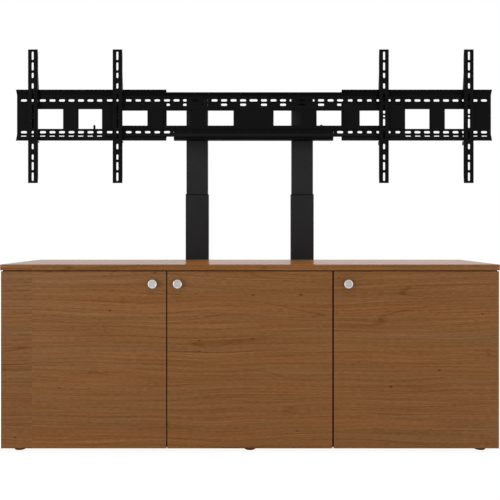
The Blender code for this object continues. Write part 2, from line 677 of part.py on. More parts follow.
def make_centre_rail(carriage, mount_black):
    """The middle rail: a folded sheet with a raised band, windows and three rows of slots."""
    front = centre_web_back - RAIL_SHEET
    rise_reach = CENTRE_LIP_RISE * LIP_REACH / OUTER_LIP_RISE
    drop_reach = CENTRE_LIP_DROP * LIP_REACH / OUTER_LIP_DROP
    web_top = OUTER_WEB_TOP - CENTRE_NEST_TOP
    web_bottom = OUTER_WEB_BOTTOM + CENTRE_NEST_BOTTOM
    face = [(-rise_reach, web_top + CENTRE_LIP_RISE), (0, web_top)]
    face += [(0, CENTRE_BAND_TOP + CENTRE_BAND_STEP), (-CENTRE_BAND_STEP, CENTRE_BAND_TOP)]
    face += [(-CENTRE_BAND_STEP, CENTRE_BAND_BOTTOM), (0, CENTRE_BAND_BOTTOM - CENTRE_BAND_STEP)]
    face += [(0, web_bottom), (-drop_reach, web_bottom - CENTRE_LIP_DROP)]
    half = CENTRE_RAIL_LENGTH / 2
    shape = prisms([folded_sheet(face, RAIL_SHEET)], "X", -half, half)
    rail = piece("centre_rail", shape, mount_black, carriage, (CENTRE_RAIL_SHIFT, front, MOUNT_HEIGHT))
    starts = [CENTRE_WINDOW_START + WINDOW_PITCH * i for i in range(WINDOW_COUNT)]
    opening = (CENTRE_WINDOW_AT, CENTRE_WINDOW_HEIGHT)
    stud = (CENTRE_STUD_FROM_WINDOW, CENTRE_STUD_HEIGHT)
    holes = [window(-x - WINDOW_WIDTH, *opening) for x in starts]
    holes += [window(starts[0], *opening), studded_window(starts[1], *opening, *stud)]
    holes += [window(x, *opening) for x in starts[2:]]
    right_half = [CENTRE_SLOT_START + SLOT_PITCH * i for i in range(SLOT_COUNT)]
    both_halves = right_half + [-x for x in right_half]
    every_other = right_half[::2] + [-x for x in right_half[::2]]
    holes += slot_row(both_halves, UPPER_ROW_AT)
    holes += slot_row(every_other, SECOND_ROW_AT)
    holes += slot_row(both_halves, LOWER_ROW_AT)
    holes.append(slot((0, UPPER_ROW_AT), MIDDLE_SLOT_LENGTH, SLOT_HEIGHT))
    holes.append(slot((0, LOWER_ROW_AT), MIDDLE_SLOT_LENGTH, SLOT_HEIGHT))
    boolean(rail, prisms(holes, "Y", -LIP_REACH, RAIL_SHEET + CUT_MARGIN), "DIFFERENCE")


def outer_rail_face():
    """Front face of an outer rail's section, from its upper lip down, with y from the web's front."""
    return [
        (-LIP_REACH, outer_lip_top),
        (0, OUTER_WEB_TOP),
        (0, OUTER_WEB_BOTTOM),
        (-LIP_REACH, outer_lip_bottom),
    ]


def make_outer_rail(side, hand, slide, mount_black):
    """An outer rail: a folded sheet whose lips lean forward, with windows and three rows of slots."""
    inner = OUTER_RAIL_INNER_END
    outer = inner + OUTER_RAIL_LENGTH
    ends = (inner, outer) if hand == 1 else (-outer, -inner)
    shape = prisms([folded_sheet(outer_rail_face(), RAIL_SHEET)], "X", *ends)
    at = (RAIL_SHIFT, outer_web_front, MOUNT_HEIGHT)
    rail = piece(f"{side}_outer_rail", shape, mount_black, slide, at)
    holes = []
    for i in range(WINDOW_COUNT):
        far_edge = outer - OUTER_WINDOW_MARGIN - WINDOW_PITCH * i
        x = far_edge - WINDOW_WIDTH if hand == 1 else -far_edge
        opening = (x, OUTER_WINDOW_AT, OUTER_WINDOW_HEIGHT)
        if hand == -1 and i == 1:
            holes.append(studded_window(*opening, OUTER_STUD_FROM_WINDOW, OUTER_STUD_HEIGHT))
        else:
            holes.append(window(*opening))
    places = [hand * (outer - OUTER_SLOT_MARGIN - SLOT_PITCH * i) for i in range(OUTER_SLOT_COUNT)]
    holes += slot_row(places, UPPER_ROW_AT)
    holes += slot_row(places, LOWER_ROW_AT)
    holes += slit_row(places, SLIT_ROW_AT)
    boolean(rail, prisms(holes, "Y", -LIP_REACH, RAIL_SHEET + CUT_MARGIN), "DIFFERENCE")


def make_carriage_fittings(carriage, mount_black):
    """The hollow crossbar and the two upper brackets that hold the centre rail to the inner tubes."""
    back = inner_tube_front - SEAT_GAP
    front = back - CROSSBAR_DEPTH
    middle_y = (front + back) / 2
    half = CROSSBAR_LENGTH / 2
    at = (CENTRE_RAIL_SHIFT, middle_y, MOUNT_HEIGHT)
    section = rectangle((-CROSSBAR_DEPTH / 2, CROSSBAR_BOTTOM), (CROSSBAR_DEPTH / 2, CROSSBAR_TOP))
    crossbar = piece("mount_crossbar", prisms([section], "X", -half, half), mount_black, carriage, at)
    inset = CROSSBAR_DEPTH / 2 - CROSSBAR_WALL
    hollow = rectangle((-inset, CROSSBAR_BOTTOM + CROSSBAR_WALL), (inset, CROSSBAR_TOP - CROSSBAR_WALL))
    boolean(crossbar, prisms([hollow], "X", -half - CUT_MARGIN, half + CUT_MARGIN), "DIFFERENCE")
    outside = BRACKET_WIDTH / 2
    inside = outside - BRACKET_WALL
    web = CROSSBAR_DEPTH / 2 - BRACKET_WALL
    channel = [(-outside, -CROSSBAR_DEPTH / 2), (-inside, -CROSSBAR_DEPTH / 2), (-inside, web), (inside, web)]
    channel += [(inside, -CROSSBAR_DEPTH / 2), (outside, -CROSSBAR_DEPTH / 2)]
    channel += [(outside, CROSSBAR_DEPTH / 2), (-outside, CROSSBAR_DEPTH / 2)]
    for side, x in column_places().items():
        shape = prisms([channel], "Z", BRACKET_TOP - BRACKET_HEIGHT, BRACKET_TOP)
        piece(f"{side}_upper_bracket", shape, mount_black, carriage, (x, middle_y, MOUNT_HEIGHT))


def display_arm_side():
    """Side outline of a display arm, with y from its face: a hook over one lip and a tab under the other."""
    rest = DISPLAY_ARM_DEPTH
    low = DISPLAY_ARM_RISE - DISPLAY_ARM_LENGTH / 2
    high = DISPLAY_ARM_RISE + DISPLAY_ARM_LENGTH / 2
    slope = OUTER_LIP_RISE / LIP_REACH
    lip_end = outer_lip_back_corner(rest + DISPLAY_ARM_REST_GAP)
    clearance = SLIDE_GAP * hypot(1, slope)
    hook_back = lip_end[0] + HOOK_REACH
    tab_bottom = lock_tab_top - LOCK_TAB_HEIGHTS["left"]
    return [
        (0, low),
        (DISPLAY_ARM_END_DEPTH, low),
        (rest, low + ARM_END_TAPER),
        (rest, tab_bottom),
        (LOCK_TAB_DEPTH, tab_bottom),
        (LOCK_TAB_DEPTH, lock_tab_top),
        (rest, lock_tab_top),
        (rest, lip_end[1] + clearance),
        (lip_end[0], lip_end[1] + clearance),
        (hook_back, lip_end[1] - slope * HOOK_REACH + clearance),
        (hook_back, lip_end[1] + HOOK_ABOVE_LIP),
        (rest, HOOK_SLANT_TOP),
        (rest, high - ARM_END_TAPER),
        (DISPLAY_ARM_END_DEPTH, high),
        (0, high),
    ]


def outer_lip_back_corner(lip):
    """Back corner of the outer rail's upper lip, with the lip's front at the given depth."""
    length = hypot(LIP_REACH, OUTER_LIP_RISE)
    return lip + RAIL_SHEET * OUTER_LIP_RISE / length, outer_lip_top + RAIL_SHEET * LIP_REACH / length


def make_display_arm(name, x, slide, mount_black):
    """An upright channel with a slotted face, which hooks over an outer rail and locks under its lower lip."""
    half = DISPLAY_ARM_WIDTH / 2
    at = (RAIL_SHIFT + x, display_arm_face, MOUNT_HEIGHT)
    arm = piece(f"{name}_display_arm", prisms([display_arm_side()], "X", -half, half), mount_black, slide, at)
    inside = half - DISPLAY_ARM_SHEET
    deep = LOCK_TAB_DEPTH + CUT_MARGIN
    reach = DISPLAY_ARM_LENGTH / 2 + DISPLAY_ARM_RISE + CUT_MARGIN
    hollow = rectangle((-inside, DISPLAY_ARM_SHEET), (inside, deep))
    boolean(arm, prisms([hollow], "Z", -reach, reach), "DIFFERENCE")
    right_tab = rectangle((inside - CUT_MARGIN, DISPLAY_ARM_DEPTH), (half + CUT_MARGIN, deep))
    tab_run = [lock_tab_top - LOCK_TAB_HEIGHTS["left"] - CUT_MARGIN, lock_tab_top - LOCK_TAB_HEIGHTS["right"]]
    boolean(arm, prisms([right_tab], "Z", *tab_run), "DIFFERENCE")
    holes = [circle((0, DISPLAY_ARM_RISE), ARM_HOLE_DIAMETER / 2, PIN_STEPS)]
    for offset, length in ARM_SLOTS.items():
        for z in (DISPLAY_ARM_RISE + offset, DISPLAY_ARM_RISE - offset):
            holes.append(slot((0, z), ARM_SLOT_WIDTH, length))
    boolean(arm, prisms(holes, "Y", -CUT_MARGIN, DISPLAY_ARM_SHEET + CUT_MARGIN), "DIFFERENCE")


def make_mount(carriage, mount_black):
    """Centre rail, crossbar and brackets on the carriage, and the outer rails with two display arms each."""
    make_centre_rail(carriage, mount_black)
    make_carriage_fittings(carriage, mount_black)
    rail_place = (RAIL_SHIFT, outer_web_front, MOUNT_HEIGHT)
    arms = {"left": ("first", "second"), "right": ("third", "fourth")}
    for side, hand in (("left", -1), ("right", 1)):
        slide = empty(f"{side}_rail_slide", rail_place, carriage)
        make_outer_rail(side, hand, slide, mount_black)
        for name in arms[side]:
            from_middle = OUTER_RAIL_INNER_END + OUTER_RAIL_LENGTH - DISPLAY_ARM_FROM_RAIL_END[name]
            make_display_arm(name, hand * from_middle, slide, mount_black)


def main():
    for old in list(bpy.data.objects):
        bpy.data.objects.remove(old)
    laminate = finish("walnut_laminate", (0.21, 0.09, 0.03), 0.45, 0.0)
    lining = finish("walnut_lining", (0.17, 0.075, 0.028), 0.55, 0.0)
    brushed = finish("satin_aluminium", (0.50, 0.49, 0.48), 0.35, 1.0)
    zinc = finish("plated_steel", (0.45, 0.45, 0.44), 0.40, 1.0)
    column_black = finish("black_anodised_column", (0.022, 0.022, 0.022), 0.50, 0.0)
    mount_black = finish("black_powder_coat", (0.008, 0.008, 0.008), 0.55, 0.0)
    plastic = finish("black_plastic", (0.012, 0.012, 0.012), 0.60, 0.0)
    root = empty("av_credenza", (-RAIL_SHIFT, -y_middle, 0))
    middle_stage = empty("lift_middle_slide", (0, column_middle_y, MIDDLE_TUBE_BOTTOM), root)
    carriage = empty("lift_carriage_slide", (0, column_middle_y, MOUNT_HEIGHT), root)
    make_carcass(root, laminate, lining)
    make_doors(root, laminate, brushed, zinc)
    make_feet(root, plastic)
    make_columns(root, middle_stage, carriage, column_black, plastic, mount_black)
    make_control_box(root, plastic)
    make_mount(carriage, mount_black)


main()
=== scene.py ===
"""Looks of the AV credenza: finishes, fittings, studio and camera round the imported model.

Lengths are in metres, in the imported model's frame: x along the width, y from the doors to the back, z up.
"""

import json
from math import cos, hypot, pi, sin

import bmesh
import bpy
from mathutils import Matrix, Vector


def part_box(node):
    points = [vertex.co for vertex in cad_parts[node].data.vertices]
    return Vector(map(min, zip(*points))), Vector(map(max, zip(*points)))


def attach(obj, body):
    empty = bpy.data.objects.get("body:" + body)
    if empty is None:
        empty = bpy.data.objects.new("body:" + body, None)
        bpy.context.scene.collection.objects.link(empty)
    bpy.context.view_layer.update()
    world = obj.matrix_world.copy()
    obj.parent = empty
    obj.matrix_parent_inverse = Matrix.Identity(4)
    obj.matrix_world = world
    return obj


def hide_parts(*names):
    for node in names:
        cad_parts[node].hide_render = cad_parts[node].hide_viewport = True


SIDES = ("left", "right")
BAYS = ("left", "middle", "right")

# Camera, read from the photograph's perspective
PHOTO_PIXELS = 500
FOCAL_PIXELS = 685.3
HORIZON_ROW = 234.05
CAMERA_FROM_DOORS = 2.927
CAMERA_HEIGHT = 0.935
SENSOR = 36.0  # millimetres

# Studio: lamps as (place, size, power in watts), all aimed at the middle of the object
FLOOR_SIZE = 24.0
AMBIENT = 0.42
LAMPS = {
    "overhead_softbox": ((0.0, -1.4, 4.2), 3.6, 70.0),
    "front_left_softbox": ((-2.8, -3.8, 0.85), 1.6, 40.0),
    "front_right_softbox": ((2.8, -3.8, 0.85), 1.6, 19.0),
    "rear_softbox": ((1.4, 4.0, 3.6), 2.0, 90.0),
}
LAMP_AIM = (0.0, 0.0, 0.8)
FLOOR_SHADOW = 0.12  # share of the floor's look that real light and shade make
FLOOR_GLOW = 1.06  # makes up for that share, so that the open floor is white

# Walnut laminate: each layer of the printed grain as (length along it, width across it, share of the tone).
# Real pores are finer than the last layer, which is the least that shows.
GRAIN = {
    "bands": (2.4, 0.075, 0.16),
    "streaks": (0.9, 0.012, 0.36),
    "lines": (1.0, 0.0056, 0.54),
    "fine_lines": (0.26, 0.0046, 0.42),
    "pores": (0.024, 0.0044, 0.46),
}
GRAIN_SWAY = (0.62, 0.16)  # length and width of the grain's slow waves
SWAY_REACH = 0.044  # how far they push it, from one side to the other
HUE_PATCH = (1.6, 0.055)  # length and width of the redder and greyer patches
TONE_SPREAD = 0.40  # noise either side of its middle that runs from the dark tone to the light one
LATE_WOOD = (1.3, 0.115)  # length and width of the waves that the dark growth lines follow
LATE_LINE = 0.011  # half width of a growth line, as a share of a wave's height
LATE_DEPTH = 0.26
LATE_SHOWN = (0.40, 0.56)  # sway noise over which a growth line comes up
LATE_FAINT = 0.15  # share of it that is left where it has faded
KNOT_CELL = (0.20, 0.10)  # one knot or none in each
KNOT_REACH = 0.064  # of a cell, for the largest knot
KNOT_SHARE = 0.52  # of the cells have none
SEAM_FROM_LEFT = 0.133  # where the first leaf of laminate ends, from the left door's edge
SEAM_HEIGHT = 0.2185
LEAF_JUMP = (3.7, 1.31, 0.0)  # from one leaf to the next in the sheet that they are cut from
FACING = 0.7  # least part of a normal along an axis, for a face that looks that way
DOOR_EASE = 0.001

# Tones of the walnut print, darkest and lightest: redder wood, then greyer wood
WALNUT = (("#6E3C10", "#9B6337"), ("#5E421F", "#8A6845"))
# The top's tones are a lighter copy of the walnut: painted light that brightens the top to make up for its
# dimmer look at a low angle
LIGHTENED_TOP_WALNUT = (("#7D4619", "#B26D3A"), ("#6E4C26", "#A37447"))
LINING = (("#613819", "#8C5835"), ("#553D24", "#805D40"))
KNOT_TONE = "#3C1F0A"

# Tints that multiply the wood's colour
FIRST_LEAF = "#F7F9F8"
NO_TINT = "#FFFFFF"
# Dims the top's front edge, taking back some of the painted light of the top's lighter tones
TOP_EDGE = "#E6ECFF"
# Painted shade: darkens the carcass's front edges and the edges where doors meet, so the gaps between them
# read dark
GAP_SHADE = "#767676"

# Grain axes of a board: along, across and through it, then the way its end edges face, along and across them
LYING = (0, 2, 1, 0, 1, 2)
STANDING = (0, 2, 1, 0, 2, 1)
SIDE = (1, 2, 0, 1, 2, 0)

# Boards of each laminate, with its grain axes, woods, roughness and specular level, and its tints: on the
# first leaf, on front edges and where doors meet; the edge tints are painted shade.
# The top has a sheen at a low angle, and the inside is dull.
SATIN = (0.40, 0.08)
DULL = (0.52, 0.08)
POLISHED = (0.20, 0.0078)
DOORS = ("left_door", "middle_door", "right_door")
BACKS = ("left_back_panel", "middle_back_panel", "right_back_panel")
LAMINATES = {
    "walnut_laminate_doors": (DOORS, STANDING, WALNUT, SATIN, FIRST_LEAF, None, GAP_SHADE),
    "walnut_laminate_top": (["top_panel"], LYING, LIGHTENED_TOP_WALNUT, POLISHED, NO_TINT, TOP_EDGE),
    "walnut_laminate_sides": (["left_side_panel", "right_side_panel"], SIDE, WALNUT, SATIN, None, GAP_SHADE),
    "walnut_lining_backs": (BACKS, STANDING, LINING, DULL),
    "walnut_lining_shelves": (["left_shelf", "right_shelf"], LYING, LINING, DULL),
    "walnut_lining_floor": (["bottom_panel"], LYING, LINING, DULL, None, GAP_SHADE),
    "walnut_lining_uprights": (["left_partition", "right_partition"], SIDE, LINING, DULL, None, GAP_SHADE),
}

# Spread of each finish either side of its roughness, and its relief
LAMINATE_SPREAD = 0.03
LAMINATE_RELIEF = {"Strength": 0.05, "Distance": 0.0001}
COAT_PATCH = 1 / 9  # width of the thinner and thicker patches
COAT_SHADES = (0.8, 1.2)
COAT_SPREAD = 0.06
COAT_RELIEF = {"Strength": 0.2, "Distance": 0.0002}
PLATE_SPREAD = 0.07
RING_PITCH = 0.0012  # real turning marks are finer, and this is the least that shows
RING_RELIEF = {"Strength": 0.15, "Distance": 0.0001}
KNOB_ROUGHNESS = (0.36, 0.30)  # of the face and of the smoother rim, whose brightness is a painted highlight

# Meshes: angles are in radians
MERGE = 1e-6
SLOT_MERGE = 1e-5
FLAT_FOLD = 0.01
SHARP_FOLD = 0.7
SOFT_STEPS = 3
ROUND = 0.5  # folds up to this angle are shaded as one round face
ROUND_FITTING = 0.6

# Display mount: heights are from the mount's middle
MOUNT_HEIGHT = 1.518
RAIL_SHEET = 0.0025
FOLD_RADIUS = 0.004
FOLD_STEPS = 7
LIP_REACH = 0.017
CUT_MARGIN = 0.002
OUTER_WEB_TOP = 0.117
OUTER_LIP_RISE = 0.0232
OUTER_WEB_BOTTOM = -0.0815
OUTER_LIP_DROP = 0.0321
CENTRE_WEB_TOP = 0.112
CENTRE_WEB_BOTTOM = -0.078
CENTRE_LIP_RISE = 0.0156
CENTRE_LIP_DROP = 0.0153
CENTRE_BAND_TOP = 0.058
CENTRE_BAND_BOTTOM = -0.054
CENTRE_BAND_STEP = 0.003
WINDOW = (0.1385, 0.2165, 3)  # width, pitch and count on each side
OUTER_WINDOW = (0.0935, -0.0035, 0.099)  # from the rail's outer end, middle height and height
CENTRE_WINDOW = (0.101, 0.0, 0.0747)  # from the rail's middle, middle height and height
WINDOW_CORNER = 0.0015
SLOT = (0.030, 0.0115, 0.00575)  # length, height and corner radius
SLIT = (0.026, 0.005, 0.000625)
SLOT_STEPS = 7
SLOT_PITCH = 0.0479
CENTRE_SLOTS = (0.0526, 15)  # first from the middle, and count on each half
OUTER_SLOTS = (0.0345, 16)  # first from the outer end; the last is an open notch in the inner end
MIDDLE_SLOT = 0.040
SLOT_ROWS = {"upper": 0.090, "second": 0.068, "lower": -0.070, "slit": -0.090}
STUD_WIDTH = 0.0105
STUD_ROUND = 0.4  # of its width or height, whichever is less
OUTER_STUD = (0.0743, 0.0195)  # from its window's left edge, and height
CENTRE_STUD = (0.0182, 0.004)

# Display arms
ARM_SHEET = 0.0025
ARM_DEPTH = 0.012
ARM_END_DEPTH = 0.006
ARM_END_TAPER = 0.034
ARM_REST_GAP = 0.0005
ARM_CLEARANCE = 0.0003
HOOK_REACH = 0.0115
HOOK_ABOVE_LIP = 0.004
HOOK_SLANT_TOP = 0.2265
LOCK_TAB_DEPTH = 0.033
LOCK_TAB_HEIGHTS = (0.0195, 0.007)  # on the left and the right flange
ARM_SLOT_WIDTH = 0.0098
ARM_SLOTS = {0.0355: 0.046, 0.093: 0.042, 0.1515: 0.027, 0.204: 0.026, 0.249: 0.040, 0.302: 0.042}
ARM_HOLE = 0.010

# Lift columns and crossbar
TUBE_WALL = 0.003
INNER_TUBE_CORNER = 0.005
TUBE_STEP = 0.004
CORNER_STEPS = 8
CAP_HEIGHT = 0.003
CAP_INSET = 0.0006
CAP_SOFTENING = 0.0012
COLLAR_SOFTENING = 0.001
COLLAR_CLEARANCE = 0.0003
PLUG_LENGTH = 0.015
PLUG_INSET = 0.001
PLUG_EASE = 0.02  # share of the bore that a plug leaves free
PLUG_SOFTENING = 0.002

# Knobs: the stem's points are (radius, height), the disc's count in from its rim and back from its face,
# and the face's are (radius, depth)
KNOB_STEM = [(0, 0), (0.0105, 0), (0.0105, 0.0012), (0.0098, 0.002), (0.0085, 0.003), (0.0078, 0.006)]
KNOB_STEM += [(0.0078, 0.012), (0.0086, 0.0155), (0.0108, 0.018)]
KNOB_DISC = [(0.005, 0.0085), (0.0012, 0.008), (0.0003, 0.0074), (0, 0.0064), (0, 0.0022)]
KNOB_DISC += [(0.0003, 0.0012), (0.0009, 0.0004), (0.0018, 0)]
KNOB_DISH = 0.0145  # radius of the dish inside the rim, which is painted bright as a highlight
KNOB_FACE = [(KNOB_DISH + 0.0008, 0), (KNOB_DISH, 0.0004), (KNOB_DISH - 0.0006, 0.001), (0.006, 0.0012)]
KNOB_FACE += [(0, 0.0012)]
KNOB_SHADE_EDGE = 0.0182  # radius at which the painted shade on the disc's rounded edge starts
KNOB_FADE = 0.0006  # over which one finish turns to the next
KNOB_STEPS = 48

# Feet: the sole's points are (radius, height) and the neck's (radius, depth); the rim's and the shoulder's
# count in from the pad's edge
FOOT_PAD = 0.0187
FOOT_SOLE = [(0, 0.0004), (0.018, 0.0004), (0.019, 0)]
FOOT_RIM = [(0.003, 0), (0.0012, 0.0006), (0.0003, 0.0018), (0, 0.003)]
FOOT_SHOULDER = [(0, 0.0045), (0.001, 0.0035), (0.006, 0.002)]
FOOT_NECK = [(0.011, 0.001), (0.009, 0), (0.005, 0)]
FOOT_RIBS = 32
RIB_DEPTH = 0.0009
RIB_MARGIN = 0.0002
THREAD = (0.005, 0.0044, 0.0022, 6)  # crest, root, pitch and turns
THREAD_START = 0.001

# Screw heads: profiles in shares of a head's radius and height, and sizes as (radius, height)
PAN_HEAD = [(0, 0.4), (0.45, 0.4), (0.45, 1), (0.75, 0.9), (0.95, 0.55), (1, 0.15), (1, 0), (0, 0)]
LOBES = 6
LOBE_LIMIT = 0.4725  # radius inside which the recess lies
LOBE_PULL = 0.72
WASHER = [(0, 0), (1.35, 0), (1.35, 0.22), (0.9, 0.25), (0, 0.25)]
WASHER_STEPS = 18
HEX_HEAD = [(0, 0.2), (1, 0.2), (1, 0.88), (0.86, 1), (0, 1)]
HINGE_SCREW = (0.0042, 0.0022)
PANEL_SCREW = (0.0038, 0.0020)
BOX_SCREW = (0.0032, 0.0018)
COLUMN_BOLT = (0.0055, 0.0045)
SCREW_INSET = 0.010  # from the edge of a back panel or of the control box
BAR_MARGIN = 0.008  # no panel screw lies nearer to a tie bar
BAR_BOLT_INSET = 0.030  # from the column
BASE_BOLT_INSET = 0.018
PLATE_FACE = 0.0028  # hinge plate's face from its panel
PLATE_MIDDLE = 0.022
PLATE_SCREW_Z = (-0.014, 0.014)
CUP_SCREW_Z = (-0.024, 0.024)
HINGE_SIDES = {"left": ("left_side_panel", 1), "middle": ("right_partition", -1)}
HINGE_SIDES |= {"right": ("right_side_panel", -1)}

# Small fittings: profiles are (radius, height)
SHELF_WALLS = {
    "left": {"left_side_panel": 1, "left_partition": -1},
    "right": {"right_partition": 1, "right_side_panel": -1},
}
PIN_RADIUS = 0.0036
SHELF_PIN = [(0, 0), (PIN_RADIUS, 0), (PIN_RADIUS, 0.0012), (0.0025, 0.0016), (0.0025, 0.0088)]
SHELF_PIN += [(0.0021, 0.0094), (0, 0.0094)]
PIN_STEPS = 12
PIN_INSET = 0.050
SLEEVE = [(0, 0.0002), (0.0024, 0.0002), (0.0026, 0.0007), (0.0036, 0.0006), (0.004, 0), (0, 0)]
SLEEVE_STEPS = 10
SLEEVE_PITCH = 0.032
SLEEVES = 6  # above a pin, and below it
BUMPER = [(0, 0), (0.005, 0), (0.0048, 0.0006), (0.004, 0.0013), (0.0025, 0.0018), (0, 0.002)]
BUMPER_STEPS = 14
BUMPER_INSET = (0.0085, 0.030)  # from a door's side and from its ends
OUTLET_HEIGHT = 0.130
GROMMET_BORE = 0.0264
GROMMET_NECK = 0.0294
GROMMET_LIP = [(0.0345, 0), (0.0341, 0.0012), (0.033, 0.0022), (GROMMET_NECK, 0.0026), (0.0272, 0.0018)]
GROMMET_LIP += [(GROMMET_BORE, 0.0006)]
GROMMET_STEPS = 40
BATTEN_EASE = 0.0006
STEEL_SOFTENING = 0.0015
BOX_SOFTENING = 0.002
GROOVE = (0.004, 0.060, 0.002)  # width, height and corner radius
GROOVE_DEPTH = 0.0015
GROOVE_PITCH = 0.010
GROOVES = 13


def linear(code):
    """A linear RGBA colour from an sRGB hex code."""
    channels = [int(code[i : i + 2], 16) / 255 for i in (1, 3, 5)]
    curved = [c / 12.92 if c <= 0.04045 else ((c + 0.055) / 1.055) ** 2.4 for c in channels]
    return (*curved, 1.0)


def feed(tree, node, inputs):
    """Fill a node's inputs with values, with links from sockets, or with a list of links for one input."""
    for name, value in inputs.items():
        for one in value if isinstance(value, list) else [value]:
            if isinstance(one, bpy.types.NodeSocket):
                tree.links.new(one, node.inputs[name])
            else:
                node.inputs[name].default_value = one


def add(tree, kind, inputs=None, **settings):
    """Add a node with its settings and inputs, its kind without the tree's prefix; returns its outputs."""
    family = "" if "Node" in kind else tree.bl_idname.removesuffix("Tree")
    node = tree.nodes.new(family + kind)
    for name, value in settings.items():
        setattr(node, name, value)
    feed(tree, node, inputs or {})
    return node.outputs


def new_material(name):
    """A node material; returns it, its tree and its Principled shader."""
    material = bpy.data.materials.new(name)
    material.use_nodes = True
    tree = material.node_tree
    return material, tree, tree.nodes["Principled BSDF"]


def give_finish(tree, shader, looks, sheen, relief=None):
    """Fill a shader: its looks, the range of its roughness and its relief."""
    looks["Roughness"] = add(tree, "MapRange", sheen)[0]
    if relief:
        looks["Normal"] = add(tree, "Bump", relief)[0]
    feed(tree, shader, looks)


def grain_plane(tree, along, across, through, end_axis, end_along, end_across):
    """Flat grain coordinates: faces run along one axis, and a board's end edges along their own length."""
    coords = add(tree, "TexCoord")
    place = add(tree, "SeparateXYZ", {0: coords["Object"]})
    facing = add(tree, "SeparateXYZ", {0: coords["Normal"]})
    wrapped = add(tree, "Math", {0: place[across], 1: place[through]}, operation="SUBTRACT")[0]
    face = add(tree, "CombineXYZ", {0: place[along], 1: wrapped})[0]
    end = add(tree, "CombineXYZ", {0: place[end_along], 1: place[end_across]})[0]
    endways = add(tree, "Math", {0: facing[end_axis]}, operation="ABSOLUTE")[0]
    is_end = add(tree, "Math", {0: endways, 1: FACING}, operation="GREATER_THAN")[0]
    plane = add(tree, "Mix", {0: is_end, 4: face, 5: end}, data_type="VECTOR")[1]
    return plane, place, facing


def grain_noise(tree, plane, size, **look):
    """Noise that is drawn out along the grain, from the length and width of its waves."""
    drawn = add(tree, "Mapping", {"Vector": plane, "Scale": (1 / size[0], 1 / size[1], 1)})[0]
    look = {"Vector": drawn, "Scale": 1.0, "Detail": 1.0} | look
    return add(tree, "TexNoise", look, noise_dimensions="2D")["Fac"]


